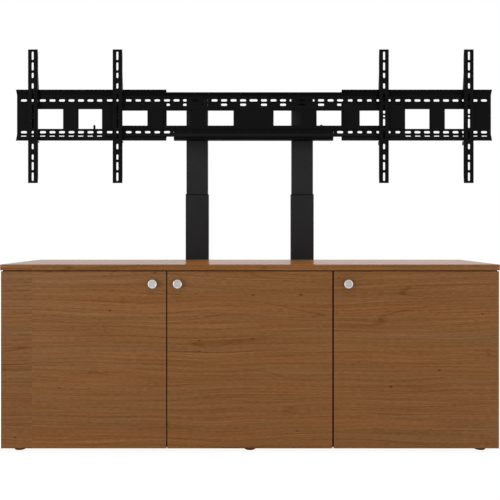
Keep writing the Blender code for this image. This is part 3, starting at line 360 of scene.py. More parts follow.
def laminate(name, axes, woods, roughness, specular, leaf_tint=None, front_shade_tint=None, meeting_shade_tint=None):
    """Walnut-print laminate, pressed to a satin face: long brown streaks, and a sheen at a low angle."""
    material, tree, shader = new_material(name)
    plane, place, facing = grain_plane(tree, *axes)
    tints = []
    if leaf_tint:
        seam_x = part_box("left_door")[0].x + SEAM_FROM_LEFT
        beside = add(tree, "Math", {0: place[0], 1: seam_x}, operation="LESS_THAN")[0]
        lower = add(tree, "Math", {0: place[2], 1: SEAM_HEIGHT}, operation="LESS_THAN")[0]
        leaf = add(tree, "Math", {0: beside, 1: lower, 2: beside}, operation="MULTIPLY_ADD")[0]
        plane = add(tree, "VectorMath", {0: leaf, 1: LEAF_JUMP, 2: plane}, operation="MULTIPLY_ADD")[0]
        tints.append((beside, leaf_tint))
    # Front edges and edges where doors meet are darkened by their tints: painted shade for the gaps, and on
    # the top a dimming of its lightened tones
    if front_shade_tint:
        front = add(tree, "Math", {0: facing[1], 1: -FACING}, operation="LESS_THAN")[0]
        tints.append((front, front_shade_tint))
    if meeting_shade_tint:
        sideways = add(tree, "Math", {0: facing[0]}, operation="ABSOLUTE")[0]
        edge = add(tree, "Math", {0: sideways, 1: FACING}, operation="GREATER_THAN")[0]
        low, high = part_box("left_door")[0].x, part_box("right_door")[1].x
        inner = {0: place[0], 1: (low + high) / 2, 2: (high - low) / 2 - 2 * DOOR_EASE}
        inner = add(tree, "Math", inner, operation="COMPARE")[0]
        meeting = add(tree, "Math", {0: edge, 1: inner}, operation="MULTIPLY")[0]
        tints.append((meeting, meeting_shade_tint))

    # Slow waves push the grain sideways
    sway = grain_noise(tree, plane, GRAIN_SWAY)
    swung = {0: sway, 1: (0.0, SWAY_REACH, 0.0), 2: plane}
    flow = add(tree, "VectorMath", swung, operation="MULTIPLY_ADD")[0]

    # Layers of the grain added up round 0.5; the last one, the pores, is also the relief
    tone = 0.5 - sum(share for _, _, share in GRAIN.values()) / 2
    for length, width, share in GRAIN.values():
        layer = grain_noise(tree, flow, (length, width))
        tone = add(tree, "Math", {0: layer, 1: share, 2: tone}, operation="MULTIPLY_ADD")[0]

    # A few long dark growth lines, which come and go along their length
    wave = grain_noise(tree, flow, LATE_WOOD)
    level = add(tree, "Math", {0: wave, 1: 0.5}, operation="SUBTRACT")[0]
    level = add(tree, "Math", {0: level}, operation="ABSOLUTE")[0]
    line = {0: level, 2: LATE_LINE, 3: LATE_DEPTH, 4: 0.0}
    line = add(tree, "MapRange", line, interpolation_type="SMOOTHSTEP")[0]
    shown = add(tree, "MapRange", {0: sway, 1: LATE_SHOWN[0], 2: LATE_SHOWN[1], 3: LATE_FAINT})[0]
    line = add(tree, "Math", {0: line, 1: shown}, operation="MULTIPLY")[0]
    tone = add(tree, "Math", {0: tone, 1: line}, operation="SUBTRACT")[0]

    # Redder and greyer wood, each with its own dark and light
    mixed = []
    for tones in woods:
        mixed.append(add(tree, "ValToRGB", {0: tone})[0])
        stops = mixed[-1].node.color_ramp.elements
        for stop, side, code in zip(stops, (-1, 1), tones):
            stop.position = 0.5 + side * TONE_SPREAD
            stop.color = linear(code)
    patch = grain_noise(tree, flow, HUE_PATCH, Detail=3.0, Roughness=0.7)
    colour = add(tree, "Mix", {0: patch, 6: mixed[0], 7: mixed[1]}, data_type="RGBA")[2]

    # A few small dark knots, one in some cells of an uneven grid
    cells = {"Vector": flow, "Scale": (1 / KNOT_CELL[0], 1 / KNOT_CELL[1], 1)}
    cells = {"Vector": add(tree, "Mapping", cells)[0], "Scale": 1.0}
    cells = add(tree, "TexVoronoi", cells, voronoi_dimensions="2D")
    draw = add(tree, "SeparateColor", {0: cells["Color"]})[0]
    reach = add(tree, "MapRange", {0: draw, 1: KNOT_SHARE, 4: KNOT_REACH})[0]
    knot = add(tree, "MapRange", {0: cells["Distance"], 2: reach, 3: 1.0, 4: 0.0})[0]
    colour = add(tree, "Mix", {0: knot, 6: colour, 7: linear(KNOT_TONE)}, data_type="RGBA")[2]

    for where, tint in tints:
        tinted = {0: where, 6: colour, 7: linear(tint)}
        colour = add(tree, "Mix", tinted, data_type="RGBA", blend_type="MULTIPLY")[2]
    looks = {"Base Color": colour, "Specular IOR Level": specular}
    sheen = {0: layer, 3: roughness + LAMINATE_SPREAD, 4: roughness - LAMINATE_SPREAD}
    give_finish(tree, shader, looks, sheen, LAMINATE_RELIEF | {"Height": layer})
    return material


def coated(name, code, grit_size, roughness, specular):
    """Baked powder coat, anodising, moulded plastic or rubber: a fine pebbled skin with a soft sheen."""
    material, tree, shader = new_material(name)
    coords = add(tree, "TexCoord")["Object"]
    grit = add(tree, "TexNoise", {"Vector": coords, "Scale": 1 / grit_size, "Detail": 2.0})["Fac"]
    cloud = add(tree, "TexNoise", {"Vector": coords, "Scale": 1 / COAT_PATCH, "Detail": 3.0})["Fac"]
    thin, thick = ((*(shade * c for c in linear(code)[:3]), 1.0) for shade in COAT_SHADES)
    colour = add(tree, "Mix", {0: cloud, 6: thin, 7: thick}, data_type="RGBA")[2]
    looks = {"Base Color": colour, "Specular IOR Level": specular}
    sheen = {0: grit, 3: roughness - COAT_SPREAD, 4: roughness + COAT_SPREAD}
    give_finish(tree, shader, looks, sheen, COAT_RELIEF | {"Height": grit})
    return material


def plated(name, code, grain_size, roughness):
    """Nickel or zinc plate on steel: a grey metal whose haze breaks up the reflections."""
    material, tree, shader = new_material(name)
    coords = add(tree, "TexCoord")["Object"]
    haze = add(tree, "TexNoise", {"Vector": coords, "Scale": 1 / grain_size, "Detail": 2.0})["Fac"]
    sheen = {0: haze, 3: roughness - PLATE_SPREAD, 4: roughness + PLATE_SPREAD}
    give_finish(tree, shader, {"Base Color": linear(code), "Metallic": 1.0}, sheen)
    return material


def turned_nickel(name, face_code, rim_highlight_code, edge_shade_code):
    """Satin nickel turned on a lathe: fine rings on the face, a smoother rim painted bright as a highlight,
    and painted shade on the rounded edge.
    """
    material, tree, shader = new_material(name)
    radius = add(tree, "Attribute", attribute_name="turning_radius")["Fac"]
    turns = add(tree, "Math", {0: radius, 1: 2 * pi / RING_PITCH}, operation="MULTIPLY")[0]
    rings = add(tree, "Math", {0: turns}, operation="SINE")[0]
    colour = linear(face_code)
    shares = []
    # The rim's brighter colour is a painted highlight, and the rounded edge's darker colour is painted shade
    for start, code in ((KNOB_DISH, rim_highlight_code), (KNOB_SHADE_EDGE, edge_shade_code)):
        shares.append(add(tree, "MapRange", {0: radius, 1: start, 2: start + KNOB_FADE})[0])
        colour = add(tree, "Mix", {0: shares[-1], 6: colour, 7: linear(code)}, data_type="RGBA")[2]
    sheen = {0: shares[0], 3: KNOB_ROUGHNESS[0], 4: KNOB_ROUGHNESS[1]}
    give_finish(tree, shader, {"Base Color": colour, "Metallic": 1.0}, sheen, RING_RELIEF | {"Height": rings})
    return material


def show_apart(tree, lit, shown, share):
    """Give light one shader, and a share of what the camera, a reflection or a clear piece sees another."""
    path = add(tree, "LightPath")
    seen = path["Is Camera Ray"]
    for ray in ("Is Glossy Ray", "Is Transmission Ray"):
        seen = add(tree, "Math", {0: seen, 1: path[ray]}, operation="MAXIMUM")[0]
    seen = add(tree, "Math", {0: seen, 1: share}, operation="MULTIPLY")[0]
    both = add(tree, "MixShader", {0: seen, 1: lit, 2: shown})[0]
    feed(tree, tree.get_output_node("ALL"), {"Surface": both})


def make_studio():
    """A white sweep: a floor that keeps a faint shadow, a white surround and soft lamps."""
    world = bpy.data.worlds.new("studio")
    bpy.context.scene.world = world
    world.use_nodes = True
    tree = world.node_tree
    white = linear("#FFFFFF")
    lit = add(tree, "Background", {"Color": white, "Strength": AMBIENT})[0]
    shown = add(tree, "Background", {"Color": white, "Strength": 1.0})[0]
    show_apart(tree, lit, shown, 1.0)

    half = FLOOR_SIZE / 2
    mesh = bpy.data.meshes.new("floor")
    corners = [(x, y, 0) for x, y in rectangle((-half, -half), (half, half))]
    mesh.from_pydata(corners, [], [(0, 1, 2, 3)])
    floor = place_object("floor", mesh)
    material, tree, _ = new_material("white_paper_sweep")
    matt = add(tree, "BsdfDiffuse", {"Color": white})[0]
    glow = add(tree, "Emission", {"Color": white, "Strength": FLOOR_GLOW})[0]
    show_apart(tree, matt, glow, 1 - FLOOR_SHADOW)
    mesh.materials.append(material)

    for name, (place, size, power) in LAMPS.items():
        lamp = bpy.data.lights.new(name, "AREA")
        lamp.size = size
        lamp.energy = power
        holder = place_object(name, lamp)
        holder.location = place
        aim = Vector(LAMP_AIM) - Vector(place)
        holder.rotation_euler = aim.to_track_quat("-Z", "Y").to_euler()


def make_camera():
    """The photograph's camera: level, square to the doors and a little above the cabinet's top."""
    camera = bpy.data.cameras.new("camera")
    camera.sensor_width = SENSOR
    camera.lens = SENSOR * FOCAL_PIXELS / PHOTO_PIXELS
    camera.shift_y = (HORIZON_ROW - PHOTO_PIXELS / 2) / PHOTO_PIXELS
    holder = place_object("camera", camera)
    door_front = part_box("left_door")[0].y
    holder.location = (middle_of("top_panel")[0], door_front - CAMERA_FROM_DOORS, CAMERA_HEIGHT)
    holder.rotation_euler = (pi / 2, 0, 0)
    bpy.context.scene.camera = holder


def middle_of(node):
    """The middle of a CAD piece's box."""
    return [(low + high) / 2 for low, high in zip(*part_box(node))]


def side_of(node, hand):
    """The x of a CAD piece's right side, or of its left side for -1."""
    low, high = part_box(node)
    return high.x if hand == 1 else low.x


def dress(nodes, material):
    """Give CAD pieces a finish."""
    for name in nodes:
        mesh = frame["nodes"][name].data
        mesh.materials.clear()
        mesh.materials.append(material)


def place_object(name, data):
    """An object at the origin, in the scene."""
    holder = bpy.data.objects.new(name, data)
    bpy.context.scene.collection.objects.link(holder)
    return holder


def modified(mesh, kind, inputs=None, **settings):
    """The mesh that a modifier makes of another one, which goes; inputs are those of a node tree."""
    holder = place_object("worked", mesh)
    modifier = holder.modifiers.new("step", kind)
    for name, value in settings.items():
        setattr(modifier, name, value)
    for name, value in (inputs or {}).items():
        modifier[name] = value
    evaluated = holder.evaluated_get(bpy.context.evaluated_depsgraph_get())
    made = bpy.data.meshes.new_from_object(evaluated)
    bpy.data.objects.remove(holder)
    bpy.data.meshes.remove(mesh)
    return made


def as_mesh(shape):
    """A mesh from a closed bmesh, with its faces outward."""
    bmesh.ops.remove_doubles(shape, verts=shape.verts, dist=MERGE)
    bmesh.ops.recalc_face_normals(shape, faces=shape.faces)
    mesh = bpy.data.meshes.new("shape")
    shape.to_mesh(mesh)
    shape.free()
    return mesh


def prism(outline, axis, start, end):
    """A closed solid: an outline square to an axis, pushed along it."""
    turn = {"X": (2, 0, 1), "Y": (0, 2, 1), "Z": (0, 1, 2)}[axis]
    shape = bmesh.new()
    rings = []
    for run in (start, end):
        corners = [(u, v, run) for u, v in outline]
        rings.append([shape.verts.new([corner[i] for i in turn]) for corner in corners])
        shape.faces.new(rings[-1])
    for i in range(len(outline)):
        shape.faces.new((rings[0][i - 1], rings[0][i], rings[1][i], rings[1][i - 1]))
    return as_mesh(shape)


def rectangle(low, high):
    """Corners of a rectangle."""
    return [low, (high[0], low[1]), high, (low[0], high[1])]


def rounded_rectangle(width, depth, radius, middle):
    """Outline of a rectangle with round corners about its middle."""
    outline = []
    for quarter, (x, y) in enumerate(((1, 1), (-1, 1), (-1, -1), (1, -1))):
        for step in range(CORNER_STEPS + 1):
            angle = (quarter + step / CORNER_STEPS) * pi / 2
            across = x * (width / 2 - radius) + radius * cos(angle)
            up = y * (depth / 2 - radius) + radius * sin(angle)
            outline.append((middle[0] + across, middle[1] + up))
    return outline


def folded(points, radius):
    """A line with its corners bent round, as a press folds a sheet."""
    path = [Vector(points[0])]
    for before, corner, after in zip(points, points[1:], points[2:]):
        corner = Vector(corner)
        start = corner + radius * (Vector(before) - corner).normalized()
        end = corner + radius * (Vector(after) - corner).normalized()
        for step in range(FOLD_STEPS + 1):
            share = step / FOLD_STEPS
            path.append((1 - share) ** 2 * start + 2 * share * (1 - share) * corner + share**2 * end)
    return path + [Vector(points[-1])]


def sheet_outline(path, thickness):
    """Outline of a bent sheet, from the line of one of its faces."""
    normals = []
    for a, b in zip(path, path[1:]):
        run = b - a
        normals.append(Vector((-run.y, run.x)).normalized())
    back = []
    for point, before, after in zip(path, normals[:1] + normals, normals + normals[-1:]):
        back.append(point + thickness * (before + after) / (1 + before.dot(after)))
    return [tuple(point) for point in path + back[::-1]]


def combine(base, tool, operation):
    """Cut a mesh with another, join them, or keep what they share."""
    cutter = place_object("cutter", tool)
    mesh = modified(base, "BOOLEAN", operation=operation, object=cutter)
    bpy.data.objects.remove(cutter)
    bpy.data.meshes.remove(tool)
    return mesh


def bored(solid, outline, axis, start, end):
    """A solid with a passage cut along it, past the passage's ends by a margin."""
    return combine(solid, prism(outline, axis, start - CUT_MARGIN, end + CUT_MARGIN), "DIFFERENCE")


def softened(mesh, width):
    """A mesh with its sharp edges rounded."""
    shape = bmesh.new()
    shape.from_mesh(mesh)
    bmesh.ops.remove_doubles(shape, verts=shape.verts, dist=MERGE)
    bmesh.ops.dissolve_limit(shape, angle_limit=FLAT_FOLD, verts=shape.verts, edges=shape.edges)
    merged = bpy.data.meshes.new("softened")
    shape.to_mesh(merged)
    shape.free()
    bevel = {"width": width, "segments": SOFT_STEPS, "limit_method": "ANGLE", "angle_limit": SHARP_FOLD}
    return modified(merged, "BEVEL", **bevel)


def turned(profile, steps):
    """A shape turned about the z axis from points of radius and height."""
    shape = bmesh.new()
    points = [shape.verts.new((radius, 0, height)) for radius, height in profile]
    edges = [shape.edges.new(pair) for pair in zip(points, points[1:])]
    bmesh.ops.spin(shape, geom=points + edges, axis=(0, 0, 1), cent=(0, 0, 0), angle=2 * pi, steps=steps)
    return as_mesh(shape)


def fluted(mesh, count, inside, outside, pull):
    """A turned mesh with every other point between two radii pulled towards its axis."""
    for vertex in mesh.vertices:
        if inside < hypot(vertex.co.x, vertex.co.y) < outside:
            turn = Vector((1, 0)).angle_signed(vertex.co.xy) / pi
            if round(count * turn) % 2:
                vertex.co.x *= pull
                vertex.co.y *= pull
    return mesh


def moved(mesh, place, facing=None):
    """A mesh set at a place, with its z axis turned to a direction if one is given."""
    if facing:
        mesh.transform(Vector(facing).to_track_quat("Z", "Y").to_matrix().to_4x4())
    mesh.transform(Matrix.Translation(place))
    return mesh


def add_piece(name, mesh, material, body, nodes=(), smooth=None):
    """A finished piece that rides on a body, in the place of CAD nodes if it stands for some."""
    mesh.materials.clear()
    mesh.materials.append(material)
    if smooth:
        mesh.shade_smooth()
        mesh.set_sharp_from_angle(angle=smooth)
    holder = place_object(name, mesh)
    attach(holder, body)
    if nodes:
        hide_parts(*nodes)


def new_tree(name, sockets):
    """A Geometry Nodes tree with named inputs; returns it, its input sockets and their identifiers."""
    tree = bpy.data.node_groups.new(name, "GeometryNodeTree")
    for socket, kind in {"Geometry": "Geometry", **sockets, "Material": "Material"}.items():
        tree.interface.new_socket(socket, in_out="INPUT", socket_type=f"NodeSocket{kind}")
    identifiers = {item.name: item.identifier for item in tree.interface.items_tree}
    tree.interface.new_socket("Geometry", in_out="OUTPUT", socket_type="NodeSocketGeometry")
    return tree, add(tree, "NodeGroupInput"), identifiers


def end_tree(tree, given, geometry):
    """Close a tree: real geometry with its finish."""
    real = add(tree, "RealizeInstances", {0: geometry})[0]
    finished = {"Geometry": real, "Material": given["Material"]}
    add(tree, "NodeGroupOutput", {0: add(tree, "SetMaterial", finished)[0]})


def make_slot_tree():
    """Cuts a row of slots through an upright sheet, from behind it towards the doors' side."""
    sizes = {"Start": "Vector", "Step": "Vector", "Count": "Int"}
    sizes |= {"Length": "Float", "Height": "Float", "Corner": "Float", "Depth": "Float"}
    tree, given, identifiers = new_tree("slot_row", sizes)
    sides = {"Width": given["Length"], "Height": given["Height"]}
    outline = add(tree, "CurvePrimitiveQuadrilateral", sides)[0]
    rounded = {"Curve": outline, "Radius": given["Corner"], "Count": SLOT_STEPS, "Limit Radius": True}
    rounded = add(tree, "FilletCurve", rounded, mode="POLY")[0]
    flat = add(tree, "FillCurve", {"Curve": rounded}, mode="NGONS")[0]
    pushed = {"Mesh": flat, "Offset Scale": given["Depth"], "Individual": False}
    pushed = add(tree, "ExtrudeMesh", pushed)[0]
    lid = add(tree, "FlipFaces", {0: flat})[0]
    both = add(tree, "JoinGeometry", {0: [pushed, lid]})[0]
    closed = add(tree, "MergeByDistance", {"Geometry": both, "Distance": SLOT_MERGE})[0]
    upright = add(tree, "Transform", {"Geometry": closed, "Rotation": (pi / 2, 0, 0)})[0]
    row = {"Count": given["Count"], "Start Location": given["Start"], "Offset": given["Step"]}
    row = add(tree, "MeshLine", row)[0]
    copies = add(tree, "InstanceOnPoints", {"Points": row, "Instance": upright})[0]
    cutters = add(tree, "RealizeInstances", {0: copies})[0]
    cut = {"Mesh 1": given["Geometry"], "Mesh 2": cutters}
    cut = add(tree, "MeshBoolean", cut, operation="DIFFERENCE", solver="EXACT")[0]
    end_tree(tree, given, cut)
    return tree, identifiers


def make_head_tree():
    """Puts a fastener on every point, turned to the point's facing."""
    tree, given, identifiers = new_tree("heads_on_points", {"Head": "Object"})
    facing = add(tree, "InputNamedAttribute", {0: "facing"}, data_type="FLOAT_VECTOR")[0]
    turn = add(tree, "FunctionNodeAlignRotationToVector", {"Vector": facing}, axis="Z")[0]
    head = add(tree, "ObjectInfo", {"Object": given["Head"]})["Geometry"]
    copies = {"Points": given["Geometry"], "Instance": head, "Rotation": turn}
    end_tree(tree, given, add(tree, "InstanceOnPoints", copies)[0])
    return tree, identifiers


def slot_row(start, step, count, length, height, corner, depth):
    """One row's inputs for the slot tree."""
    row = {"Start": start, "Step": step, "Count": count}
    return row | {"Length": length, "Height": height, "Corner": corner, "Depth": depth}


def perforated(mesh, rows, material):
    """A sheet with rows of slots cut through it."""
    tree, identifiers = slot_tree
    for row in rows:
        inputs = {identifiers[name]: value for name, value in (row | {"Material": material}).items()}
        mesh = modified(mesh, "NODES", inputs, node_group=tree)
    return mesh


def fasten(name, places, head, material, body):
    """Fasteners of one kind on one body; places are pairs of a point and a facing."""
    tree, identifiers = head_tree
    mesh = bpy.data.meshes.new(name)
    mesh.from_pydata([point for point, _ in places], [], [])
    facings = mesh.attributes.new("facing", "FLOAT_VECTOR", "POINT")
    for row, (_, facing) in zip(facings.data, places):
        row.vector = facing
    template = place_object("template", head)
    inputs = {identifiers["Head"]: template, identifiers["Material"]: material}
    mesh = modified(mesh, "NODES", inputs, node_group=tree)
    bpy.data.objects.remove(template)
    add_piece(name, mesh, material, body, smooth=ROUND_FITTING)


def rail_mesh(node, face, fold, openings):
    """A rail of folded sheet with rows of openings: (x, z, step, count, length, height, corner) each.

    The points of its face are (y, z) from the front of its web and the mount's middle.
    """
    low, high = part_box(node)
    face = [(high.y - RAIL_SHEET + y, MOUNT_HEIGHT + z) for y, z in face]
    sheet = prism(sheet_outline(folded(face, fold), RAIL_SHEET), "X", low.x, high.x)
    depth = LIP_REACH + RAIL_SHEET + 2 * CUT_MARGIN
    rows = []
    for x, z, step, *size in openings:
        start = (x, high.y + CUT_MARGIN, MOUNT_HEIGHT + z)
        rows.append(slot_row(start, (step, 0.0, 0.0), *size, depth))
    return perforated(sheet, rows, mount_black)


def stud(left, height, window, front):
    """A locking stud that stands on the lower edge of a rail window."""
    _, window_z, window_height = window
    foot = MOUNT_HEIGHT + window_z - window_height / 2
    round_end = STUD_ROUND * min(STUD_WIDTH, height)
    middle = (left + STUD_WIDTH / 2, foot + height / 2 - round_end)
    outline = rounded_rectangle(STUD_WIDTH, height + 2 * round_end, round_end, middle)
    return prism(outline, "Y", front, front + RAIL_SHEET)


def make_outer_rail(side, hand):
    """An outer rail: folded sheet with leaning lips, three windows and rows of slots."""
    node = f"{side}_outer_rail"
    low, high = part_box(node)
    outer = side_of(node, hand)
    face = [(-LIP_REACH, OUTER_WEB_TOP + OUTER_LIP_RISE), (0, OUTER_WEB_TOP)]
    face += [(0, OUTER_WEB_BOTTOM), (-LIP_REACH, OUTER_WEB_BOTTOM - OUTER_LIP_DROP)]
    width, pitch, count = WINDOW
    margin, window_z, window_height = OUTER_WINDOW
    first = outer - hand * (margin + width / 2)
    openings = [(first, window_z, -hand * pitch, count, width, window_height, WINDOW_CORNER)]
    first_slot, count = OUTER_SLOTS
    for row, size in (("upper", SLOT), ("lower", SLOT), ("slit", SLIT)):
        openings.append((outer - hand * first_slot, SLOT_ROWS[row], -hand * SLOT_PITCH, count, *size))
    mesh = rail_mesh(node, face, FOLD_RADIUS, openings)
    if hand == -1:
        left = low.x + margin + pitch + OUTER_STUD[0]
        tab = stud(left, OUTER_STUD[1], OUTER_WINDOW, high.y - RAIL_SHEET)
        mesh = combine(mesh, tab, "UNION")
    add_piece(f"{node}_sheet", mesh, mount_black, f"{side}_rail", [node])


def make_centre_rail():
    """The middle rail: folded sheet with a raised band, windows and rows of slots on each half."""
    node = "centre_rail"
    middle = middle_of(node)[0]
    rise_reach = CENTRE_LIP_RISE * LIP_REACH / OUTER_LIP_RISE
    drop_reach = CENTRE_LIP_DROP * LIP_REACH / OUTER_LIP_DROP
    face = [(-rise_reach, CENTRE_WEB_TOP + CENTRE_LIP_RISE), (0, CENTRE_WEB_TOP)]
    face += [(0, CENTRE_BAND_TOP + CENTRE_BAND_STEP), (-CENTRE_BAND_STEP, CENTRE_BAND_TOP)]
    face += [(-CENTRE_BAND_STEP, CENTRE_BAND_BOTTOM), (0, CENTRE_BAND_BOTTOM - CENTRE_BAND_STEP)]
    face += [(0, CENTRE_WEB_BOTTOM), (-drop_reach, CENTRE_WEB_BOTTOM - CENTRE_LIP_DROP)]
    width, pitch, count = WINDOW
    start, window_z, window_height = CENTRE_WINDOW
    first_slot, slot_count = CENTRE_SLOTS
    windows = []
    slots = []
    for hand in (1, -1):
        first = middle + hand * (start + width / 2)
        windows.append((first, window_z, hand * pitch, count, width, window_height, WINDOW_CORNER))
        first = middle + hand * first_slot
        for row, every in (("upper", 1), ("second", 2), ("lower", 1)):
            copies = (slot_count + every - 1) // every
            slots.append((first, SLOT_ROWS[row], hand * every * SLOT_PITCH, copies, *SLOT))
    for row in ("upper", "lower"):
        slots.append((middle, SLOT_ROWS[row], 0.0, 1, MIDDLE_SLOT, *SLOT[1:]))
    mesh = rail_mesh(node, face, CENTRE_BAND_STEP / 2, windows + slots)
    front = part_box(node)[1].y - RAIL_SHEET - CENTRE_BAND_STEP
    tab = stud(middle + start + pitch + CENTRE_STUD[0], CENTRE_STUD[1], CENTRE_WINDOW, front)
    mesh = combine(mesh, tab, "UNION")
    add_piece("centre_rail_sheet", mesh, mount_black, "lift_carriage", [node])


def arm_side(low, high):
    """Side outline of a display arm from its face back: a hook over one lip and a tab under the other."""
    slope = OUTER_LIP_RISE / LIP_REACH
    length = hypot(LIP_REACH, OUTER_LIP_RISE)
    lip_top = OUTER_WEB_TOP + OUTER_LIP_RISE
    lip_y = ARM_DEPTH + ARM_REST_GAP + RAIL_SHEET * OUTER_LIP_RISE / length
    lip_z = lip_top + RAIL_SHEET * LIP_REACH / length
    above = ARM_CLEARANCE * hypot(1, slope)
    hook_back = lip_y + HOOK_REACH
    tab_top = OUTER_WEB_BOTTOM - OUTER_LIP_DROP - RAIL_SHEET - ARM_CLEARANCE
    tab_bottom = tab_top - LOCK_TAB_HEIGHTS[0]
    points = [(0, low), (ARM_END_DEPTH, low), (ARM_DEPTH, low + ARM_END_TAPER), (ARM_DEPTH, tab_bottom)]
    points += [(LOCK_TAB_DEPTH, tab_bottom), (LOCK_TAB_DEPTH, tab_top), (ARM_DEPTH, tab_top)]
    points += [(ARM_DEPTH, lip_z + above), (lip_y, lip_z + above)]
    points += [(hook_back, lip_z - slope * HOOK_REACH + above), (hook_back, lip_z + HOOK_ABOVE_LIP)]
    points += [(ARM_DEPTH, HOOK_SLANT_TOP), (ARM_DEPTH, high - ARM_END_TAPER)]
    points += [(ARM_END_DEPTH, high), (0, high)]
    return points, tab_top


def make_display_arms():
    """Four upright channels with round folds and a slotted face."""
    corner_low, corner_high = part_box("first_display_arm")
    half = (corner_high.x - corner_low.x) / 2
    low = corner_low.z - MOUNT_HEIGHT
    high = corner_high.z - MOUNT_HEIGHT
    middle = (low + high) / 2
    deep = LOCK_TAB_DEPTH + CUT_MARGIN
    section = folded([(-half, deep), (-half, 0), (half, 0), (half, deep)], FOLD_RADIUS)
    channel = prism(sheet_outline(section, ARM_SHEET), "Z", low - CUT_MARGIN, high + CUT_MARGIN)
    outline, tab_top = arm_side(low, high)
    arm = combine(channel, prism(outline, "X", -half - CUT_MARGIN, half + CUT_MARGIN), "INTERSECT")
    short_tab = rectangle((half - ARM_SHEET - CUT_MARGIN, ARM_DEPTH), (half + CUT_MARGIN, deep))
    tab_run = (tab_top - LOCK_TAB_HEIGHTS[0] - CUT_MARGIN, tab_top - LOCK_TAB_HEIGHTS[1])
    arm = combine(arm, prism(short_tab, "Z", *tab_run), "DIFFERENCE")
    start_y = ARM_SHEET + CUT_MARGIN
    depth = ARM_SHEET + 2 * CUT_MARGIN
    still = (0.0, 0.0, 0.0)
    rows = [slot_row((0.0, start_y, middle), still, 1, ARM_HOLE, ARM_HOLE, ARM_HOLE / 2, depth)]
    for offset, length in ARM_SLOTS.items():
        start = (0.0, start_y, middle - offset)
        step = (0.0, 0.0, 2 * offset)
        rows.append(slot_row(start, step, 2, ARM_SLOT_WIDTH, length, ARM_SLOT_WIDTH / 2, depth))
    arm = perforated(arm, rows, mount_black)
    for name in ("first", "second", "third", "fourth"):
        node = f"{name}_display_arm"
        place = (middle_of(node)[0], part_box(node)[0].y, MOUNT_HEIGHT)
        mesh = moved(arm.copy(), place)
        add_piece(f"{node}_channel", mesh, mount_black, f"{name}_arm", [node])
    bpy.data.meshes.remove(arm)


def make_carriage_fittings():
    """The crossbar as a rounded hollow section with end plugs, and the two folded brackets above it."""
    low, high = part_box("mount_crossbar")
    depth = high.y - low.y
    height = high.z - low.z
    middle = middle_of("mount_crossbar")[1:]
    outline = rounded_rectangle(depth, height, FOLD_RADIUS, middle)
    corner = FOLD_RADIUS - TUBE_WALL / 2
    inner = rounded_rectangle(depth - 2 * TUBE_WALL, height - 2 * TUBE_WALL, corner, middle)
    bar = bored(prism(outline, "X", low.x, high.x), inner, "X", low.x, high.x)
    add_piece("crossbar_section", bar, mount_black, "lift_carriage", ["mount_crossbar"])
    plug = [[a + PLUG_EASE * (b - a) for a, b in zip(point, middle)] for point in inner]
    for side, start in {"left": low.x + PLUG_INSET, "right": high.x - PLUG_INSET - PLUG_LENGTH}.items():
        mesh = softened(prism(plug, "X", start, start + PLUG_LENGTH), PLUG_SOFTENING)
        name = f"crossbar_{side}_plug"
        add_piece(name, mesh, plastic, "lift_carriage", smooth=ROUND_FITTING)
    for side in SIDES:
        node = f"{side}_upper_bracket"
        low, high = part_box(node)
        section = [(high.x, low.y), (high.x, high.y), (low.x, high.y), (low.x, low.y)]
        bracket = prism(sheet_outline(folded(section, FOLD_RADIUS), TUBE_WALL), "Z", low.z, high.z)
        add_piece(f"{node}_channel", bracket, mount_black, "lift_carriage", [node])


def tube_outline(node, stage, inset):
    """Section of a lift tube or its collar, set in from its outside; stages count from the inner tube."""
    low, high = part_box(node)
    corner = INNER_TUBE_CORNER + TUBE_STEP * stage - inset
    return rounded_rectangle(high.x - low.x - 2 * inset, high.y - low.y - 2 * inset, corner, middle_of(node))


def make_columns():
    """Lift tubes with round corners, their guide collars, and caps on the inner tubes."""
    stages = {"inner": ("lift_carriage", 0), "middle": ("lift_middle_stage", 1), "outer": ("cabinet", 2)}
    for side in SIDES:
        for stage, (body, index) in stages.items():
            node = f"{side}_{stage}_tube"
            low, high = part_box(node)
            solid = prism(tube_outline(node, index, 0), "Z", low.z, high.z)
            top = high.z - TUBE_WALL - CUT_MARGIN if index == 0 else high.z
            tube = bored(solid, tube_outline(node, index, TUBE_WALL), "Z", low.z, top)
            add_piece(f"{node}_extrusion", tube, column_black, body, [node], smooth=ROUND)
            if index == 0:
                cap = prism(tube_outline(node, 0, CAP_INSET), "Z", high.z, high.z + CAP_HEIGHT)
                cap = softened(cap, CAP_SOFTENING)
                add_piece(f"{side}_tube_cap", cap, plastic, body, smooth=ROUND)
                continue
            node = f"{side}_{stage}_collar"
            low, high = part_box(node)
            solid = prism(tube_outline(node, index, 0), "Z", low.z, high.z)
            passage = tube_outline(node, index, TUBE_STEP - COLLAR_CLEARANCE)
            collar = bored(softened(solid, COLLAR_SOFTENING), passage, "Z", low.z, high.z)
            add_piece(f"{node}_ring", collar, plastic, body, [node], smooth=ROUND)


def make_knobs():
    """Turned knobs: a waisted stem, a round-edged disc and a dished face inside a raised rim with a painted
    highlight.
    """
    for name in BAYS:
        node = f"{name}_knob"
        low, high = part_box(node)
        radius = (high.x - low.x) / 2
        reach = high.y - low.y
        profile = KNOB_STEM + [(radius - inward, reach - back) for inward, back in KNOB_DISC]
        profile += [(across, reach - back) for across, back in KNOB_FACE]
        mesh = turned(profile, KNOB_STEPS)
        radii = mesh.attributes.new("turning_radius", "FLOAT", "POINT")
        for row, vertex in zip(radii.data, mesh.vertices):
            row.value = hypot(vertex.co.x, vertex.co.y)
        x, _, z = middle_of(node)
        mesh = moved(mesh, (x, high.y, z), (0, -1, 0))
        add_piece(f"{node}_turning", mesh, knob_nickel, f"{name}_door_leaf", [node], smooth=ROUND)


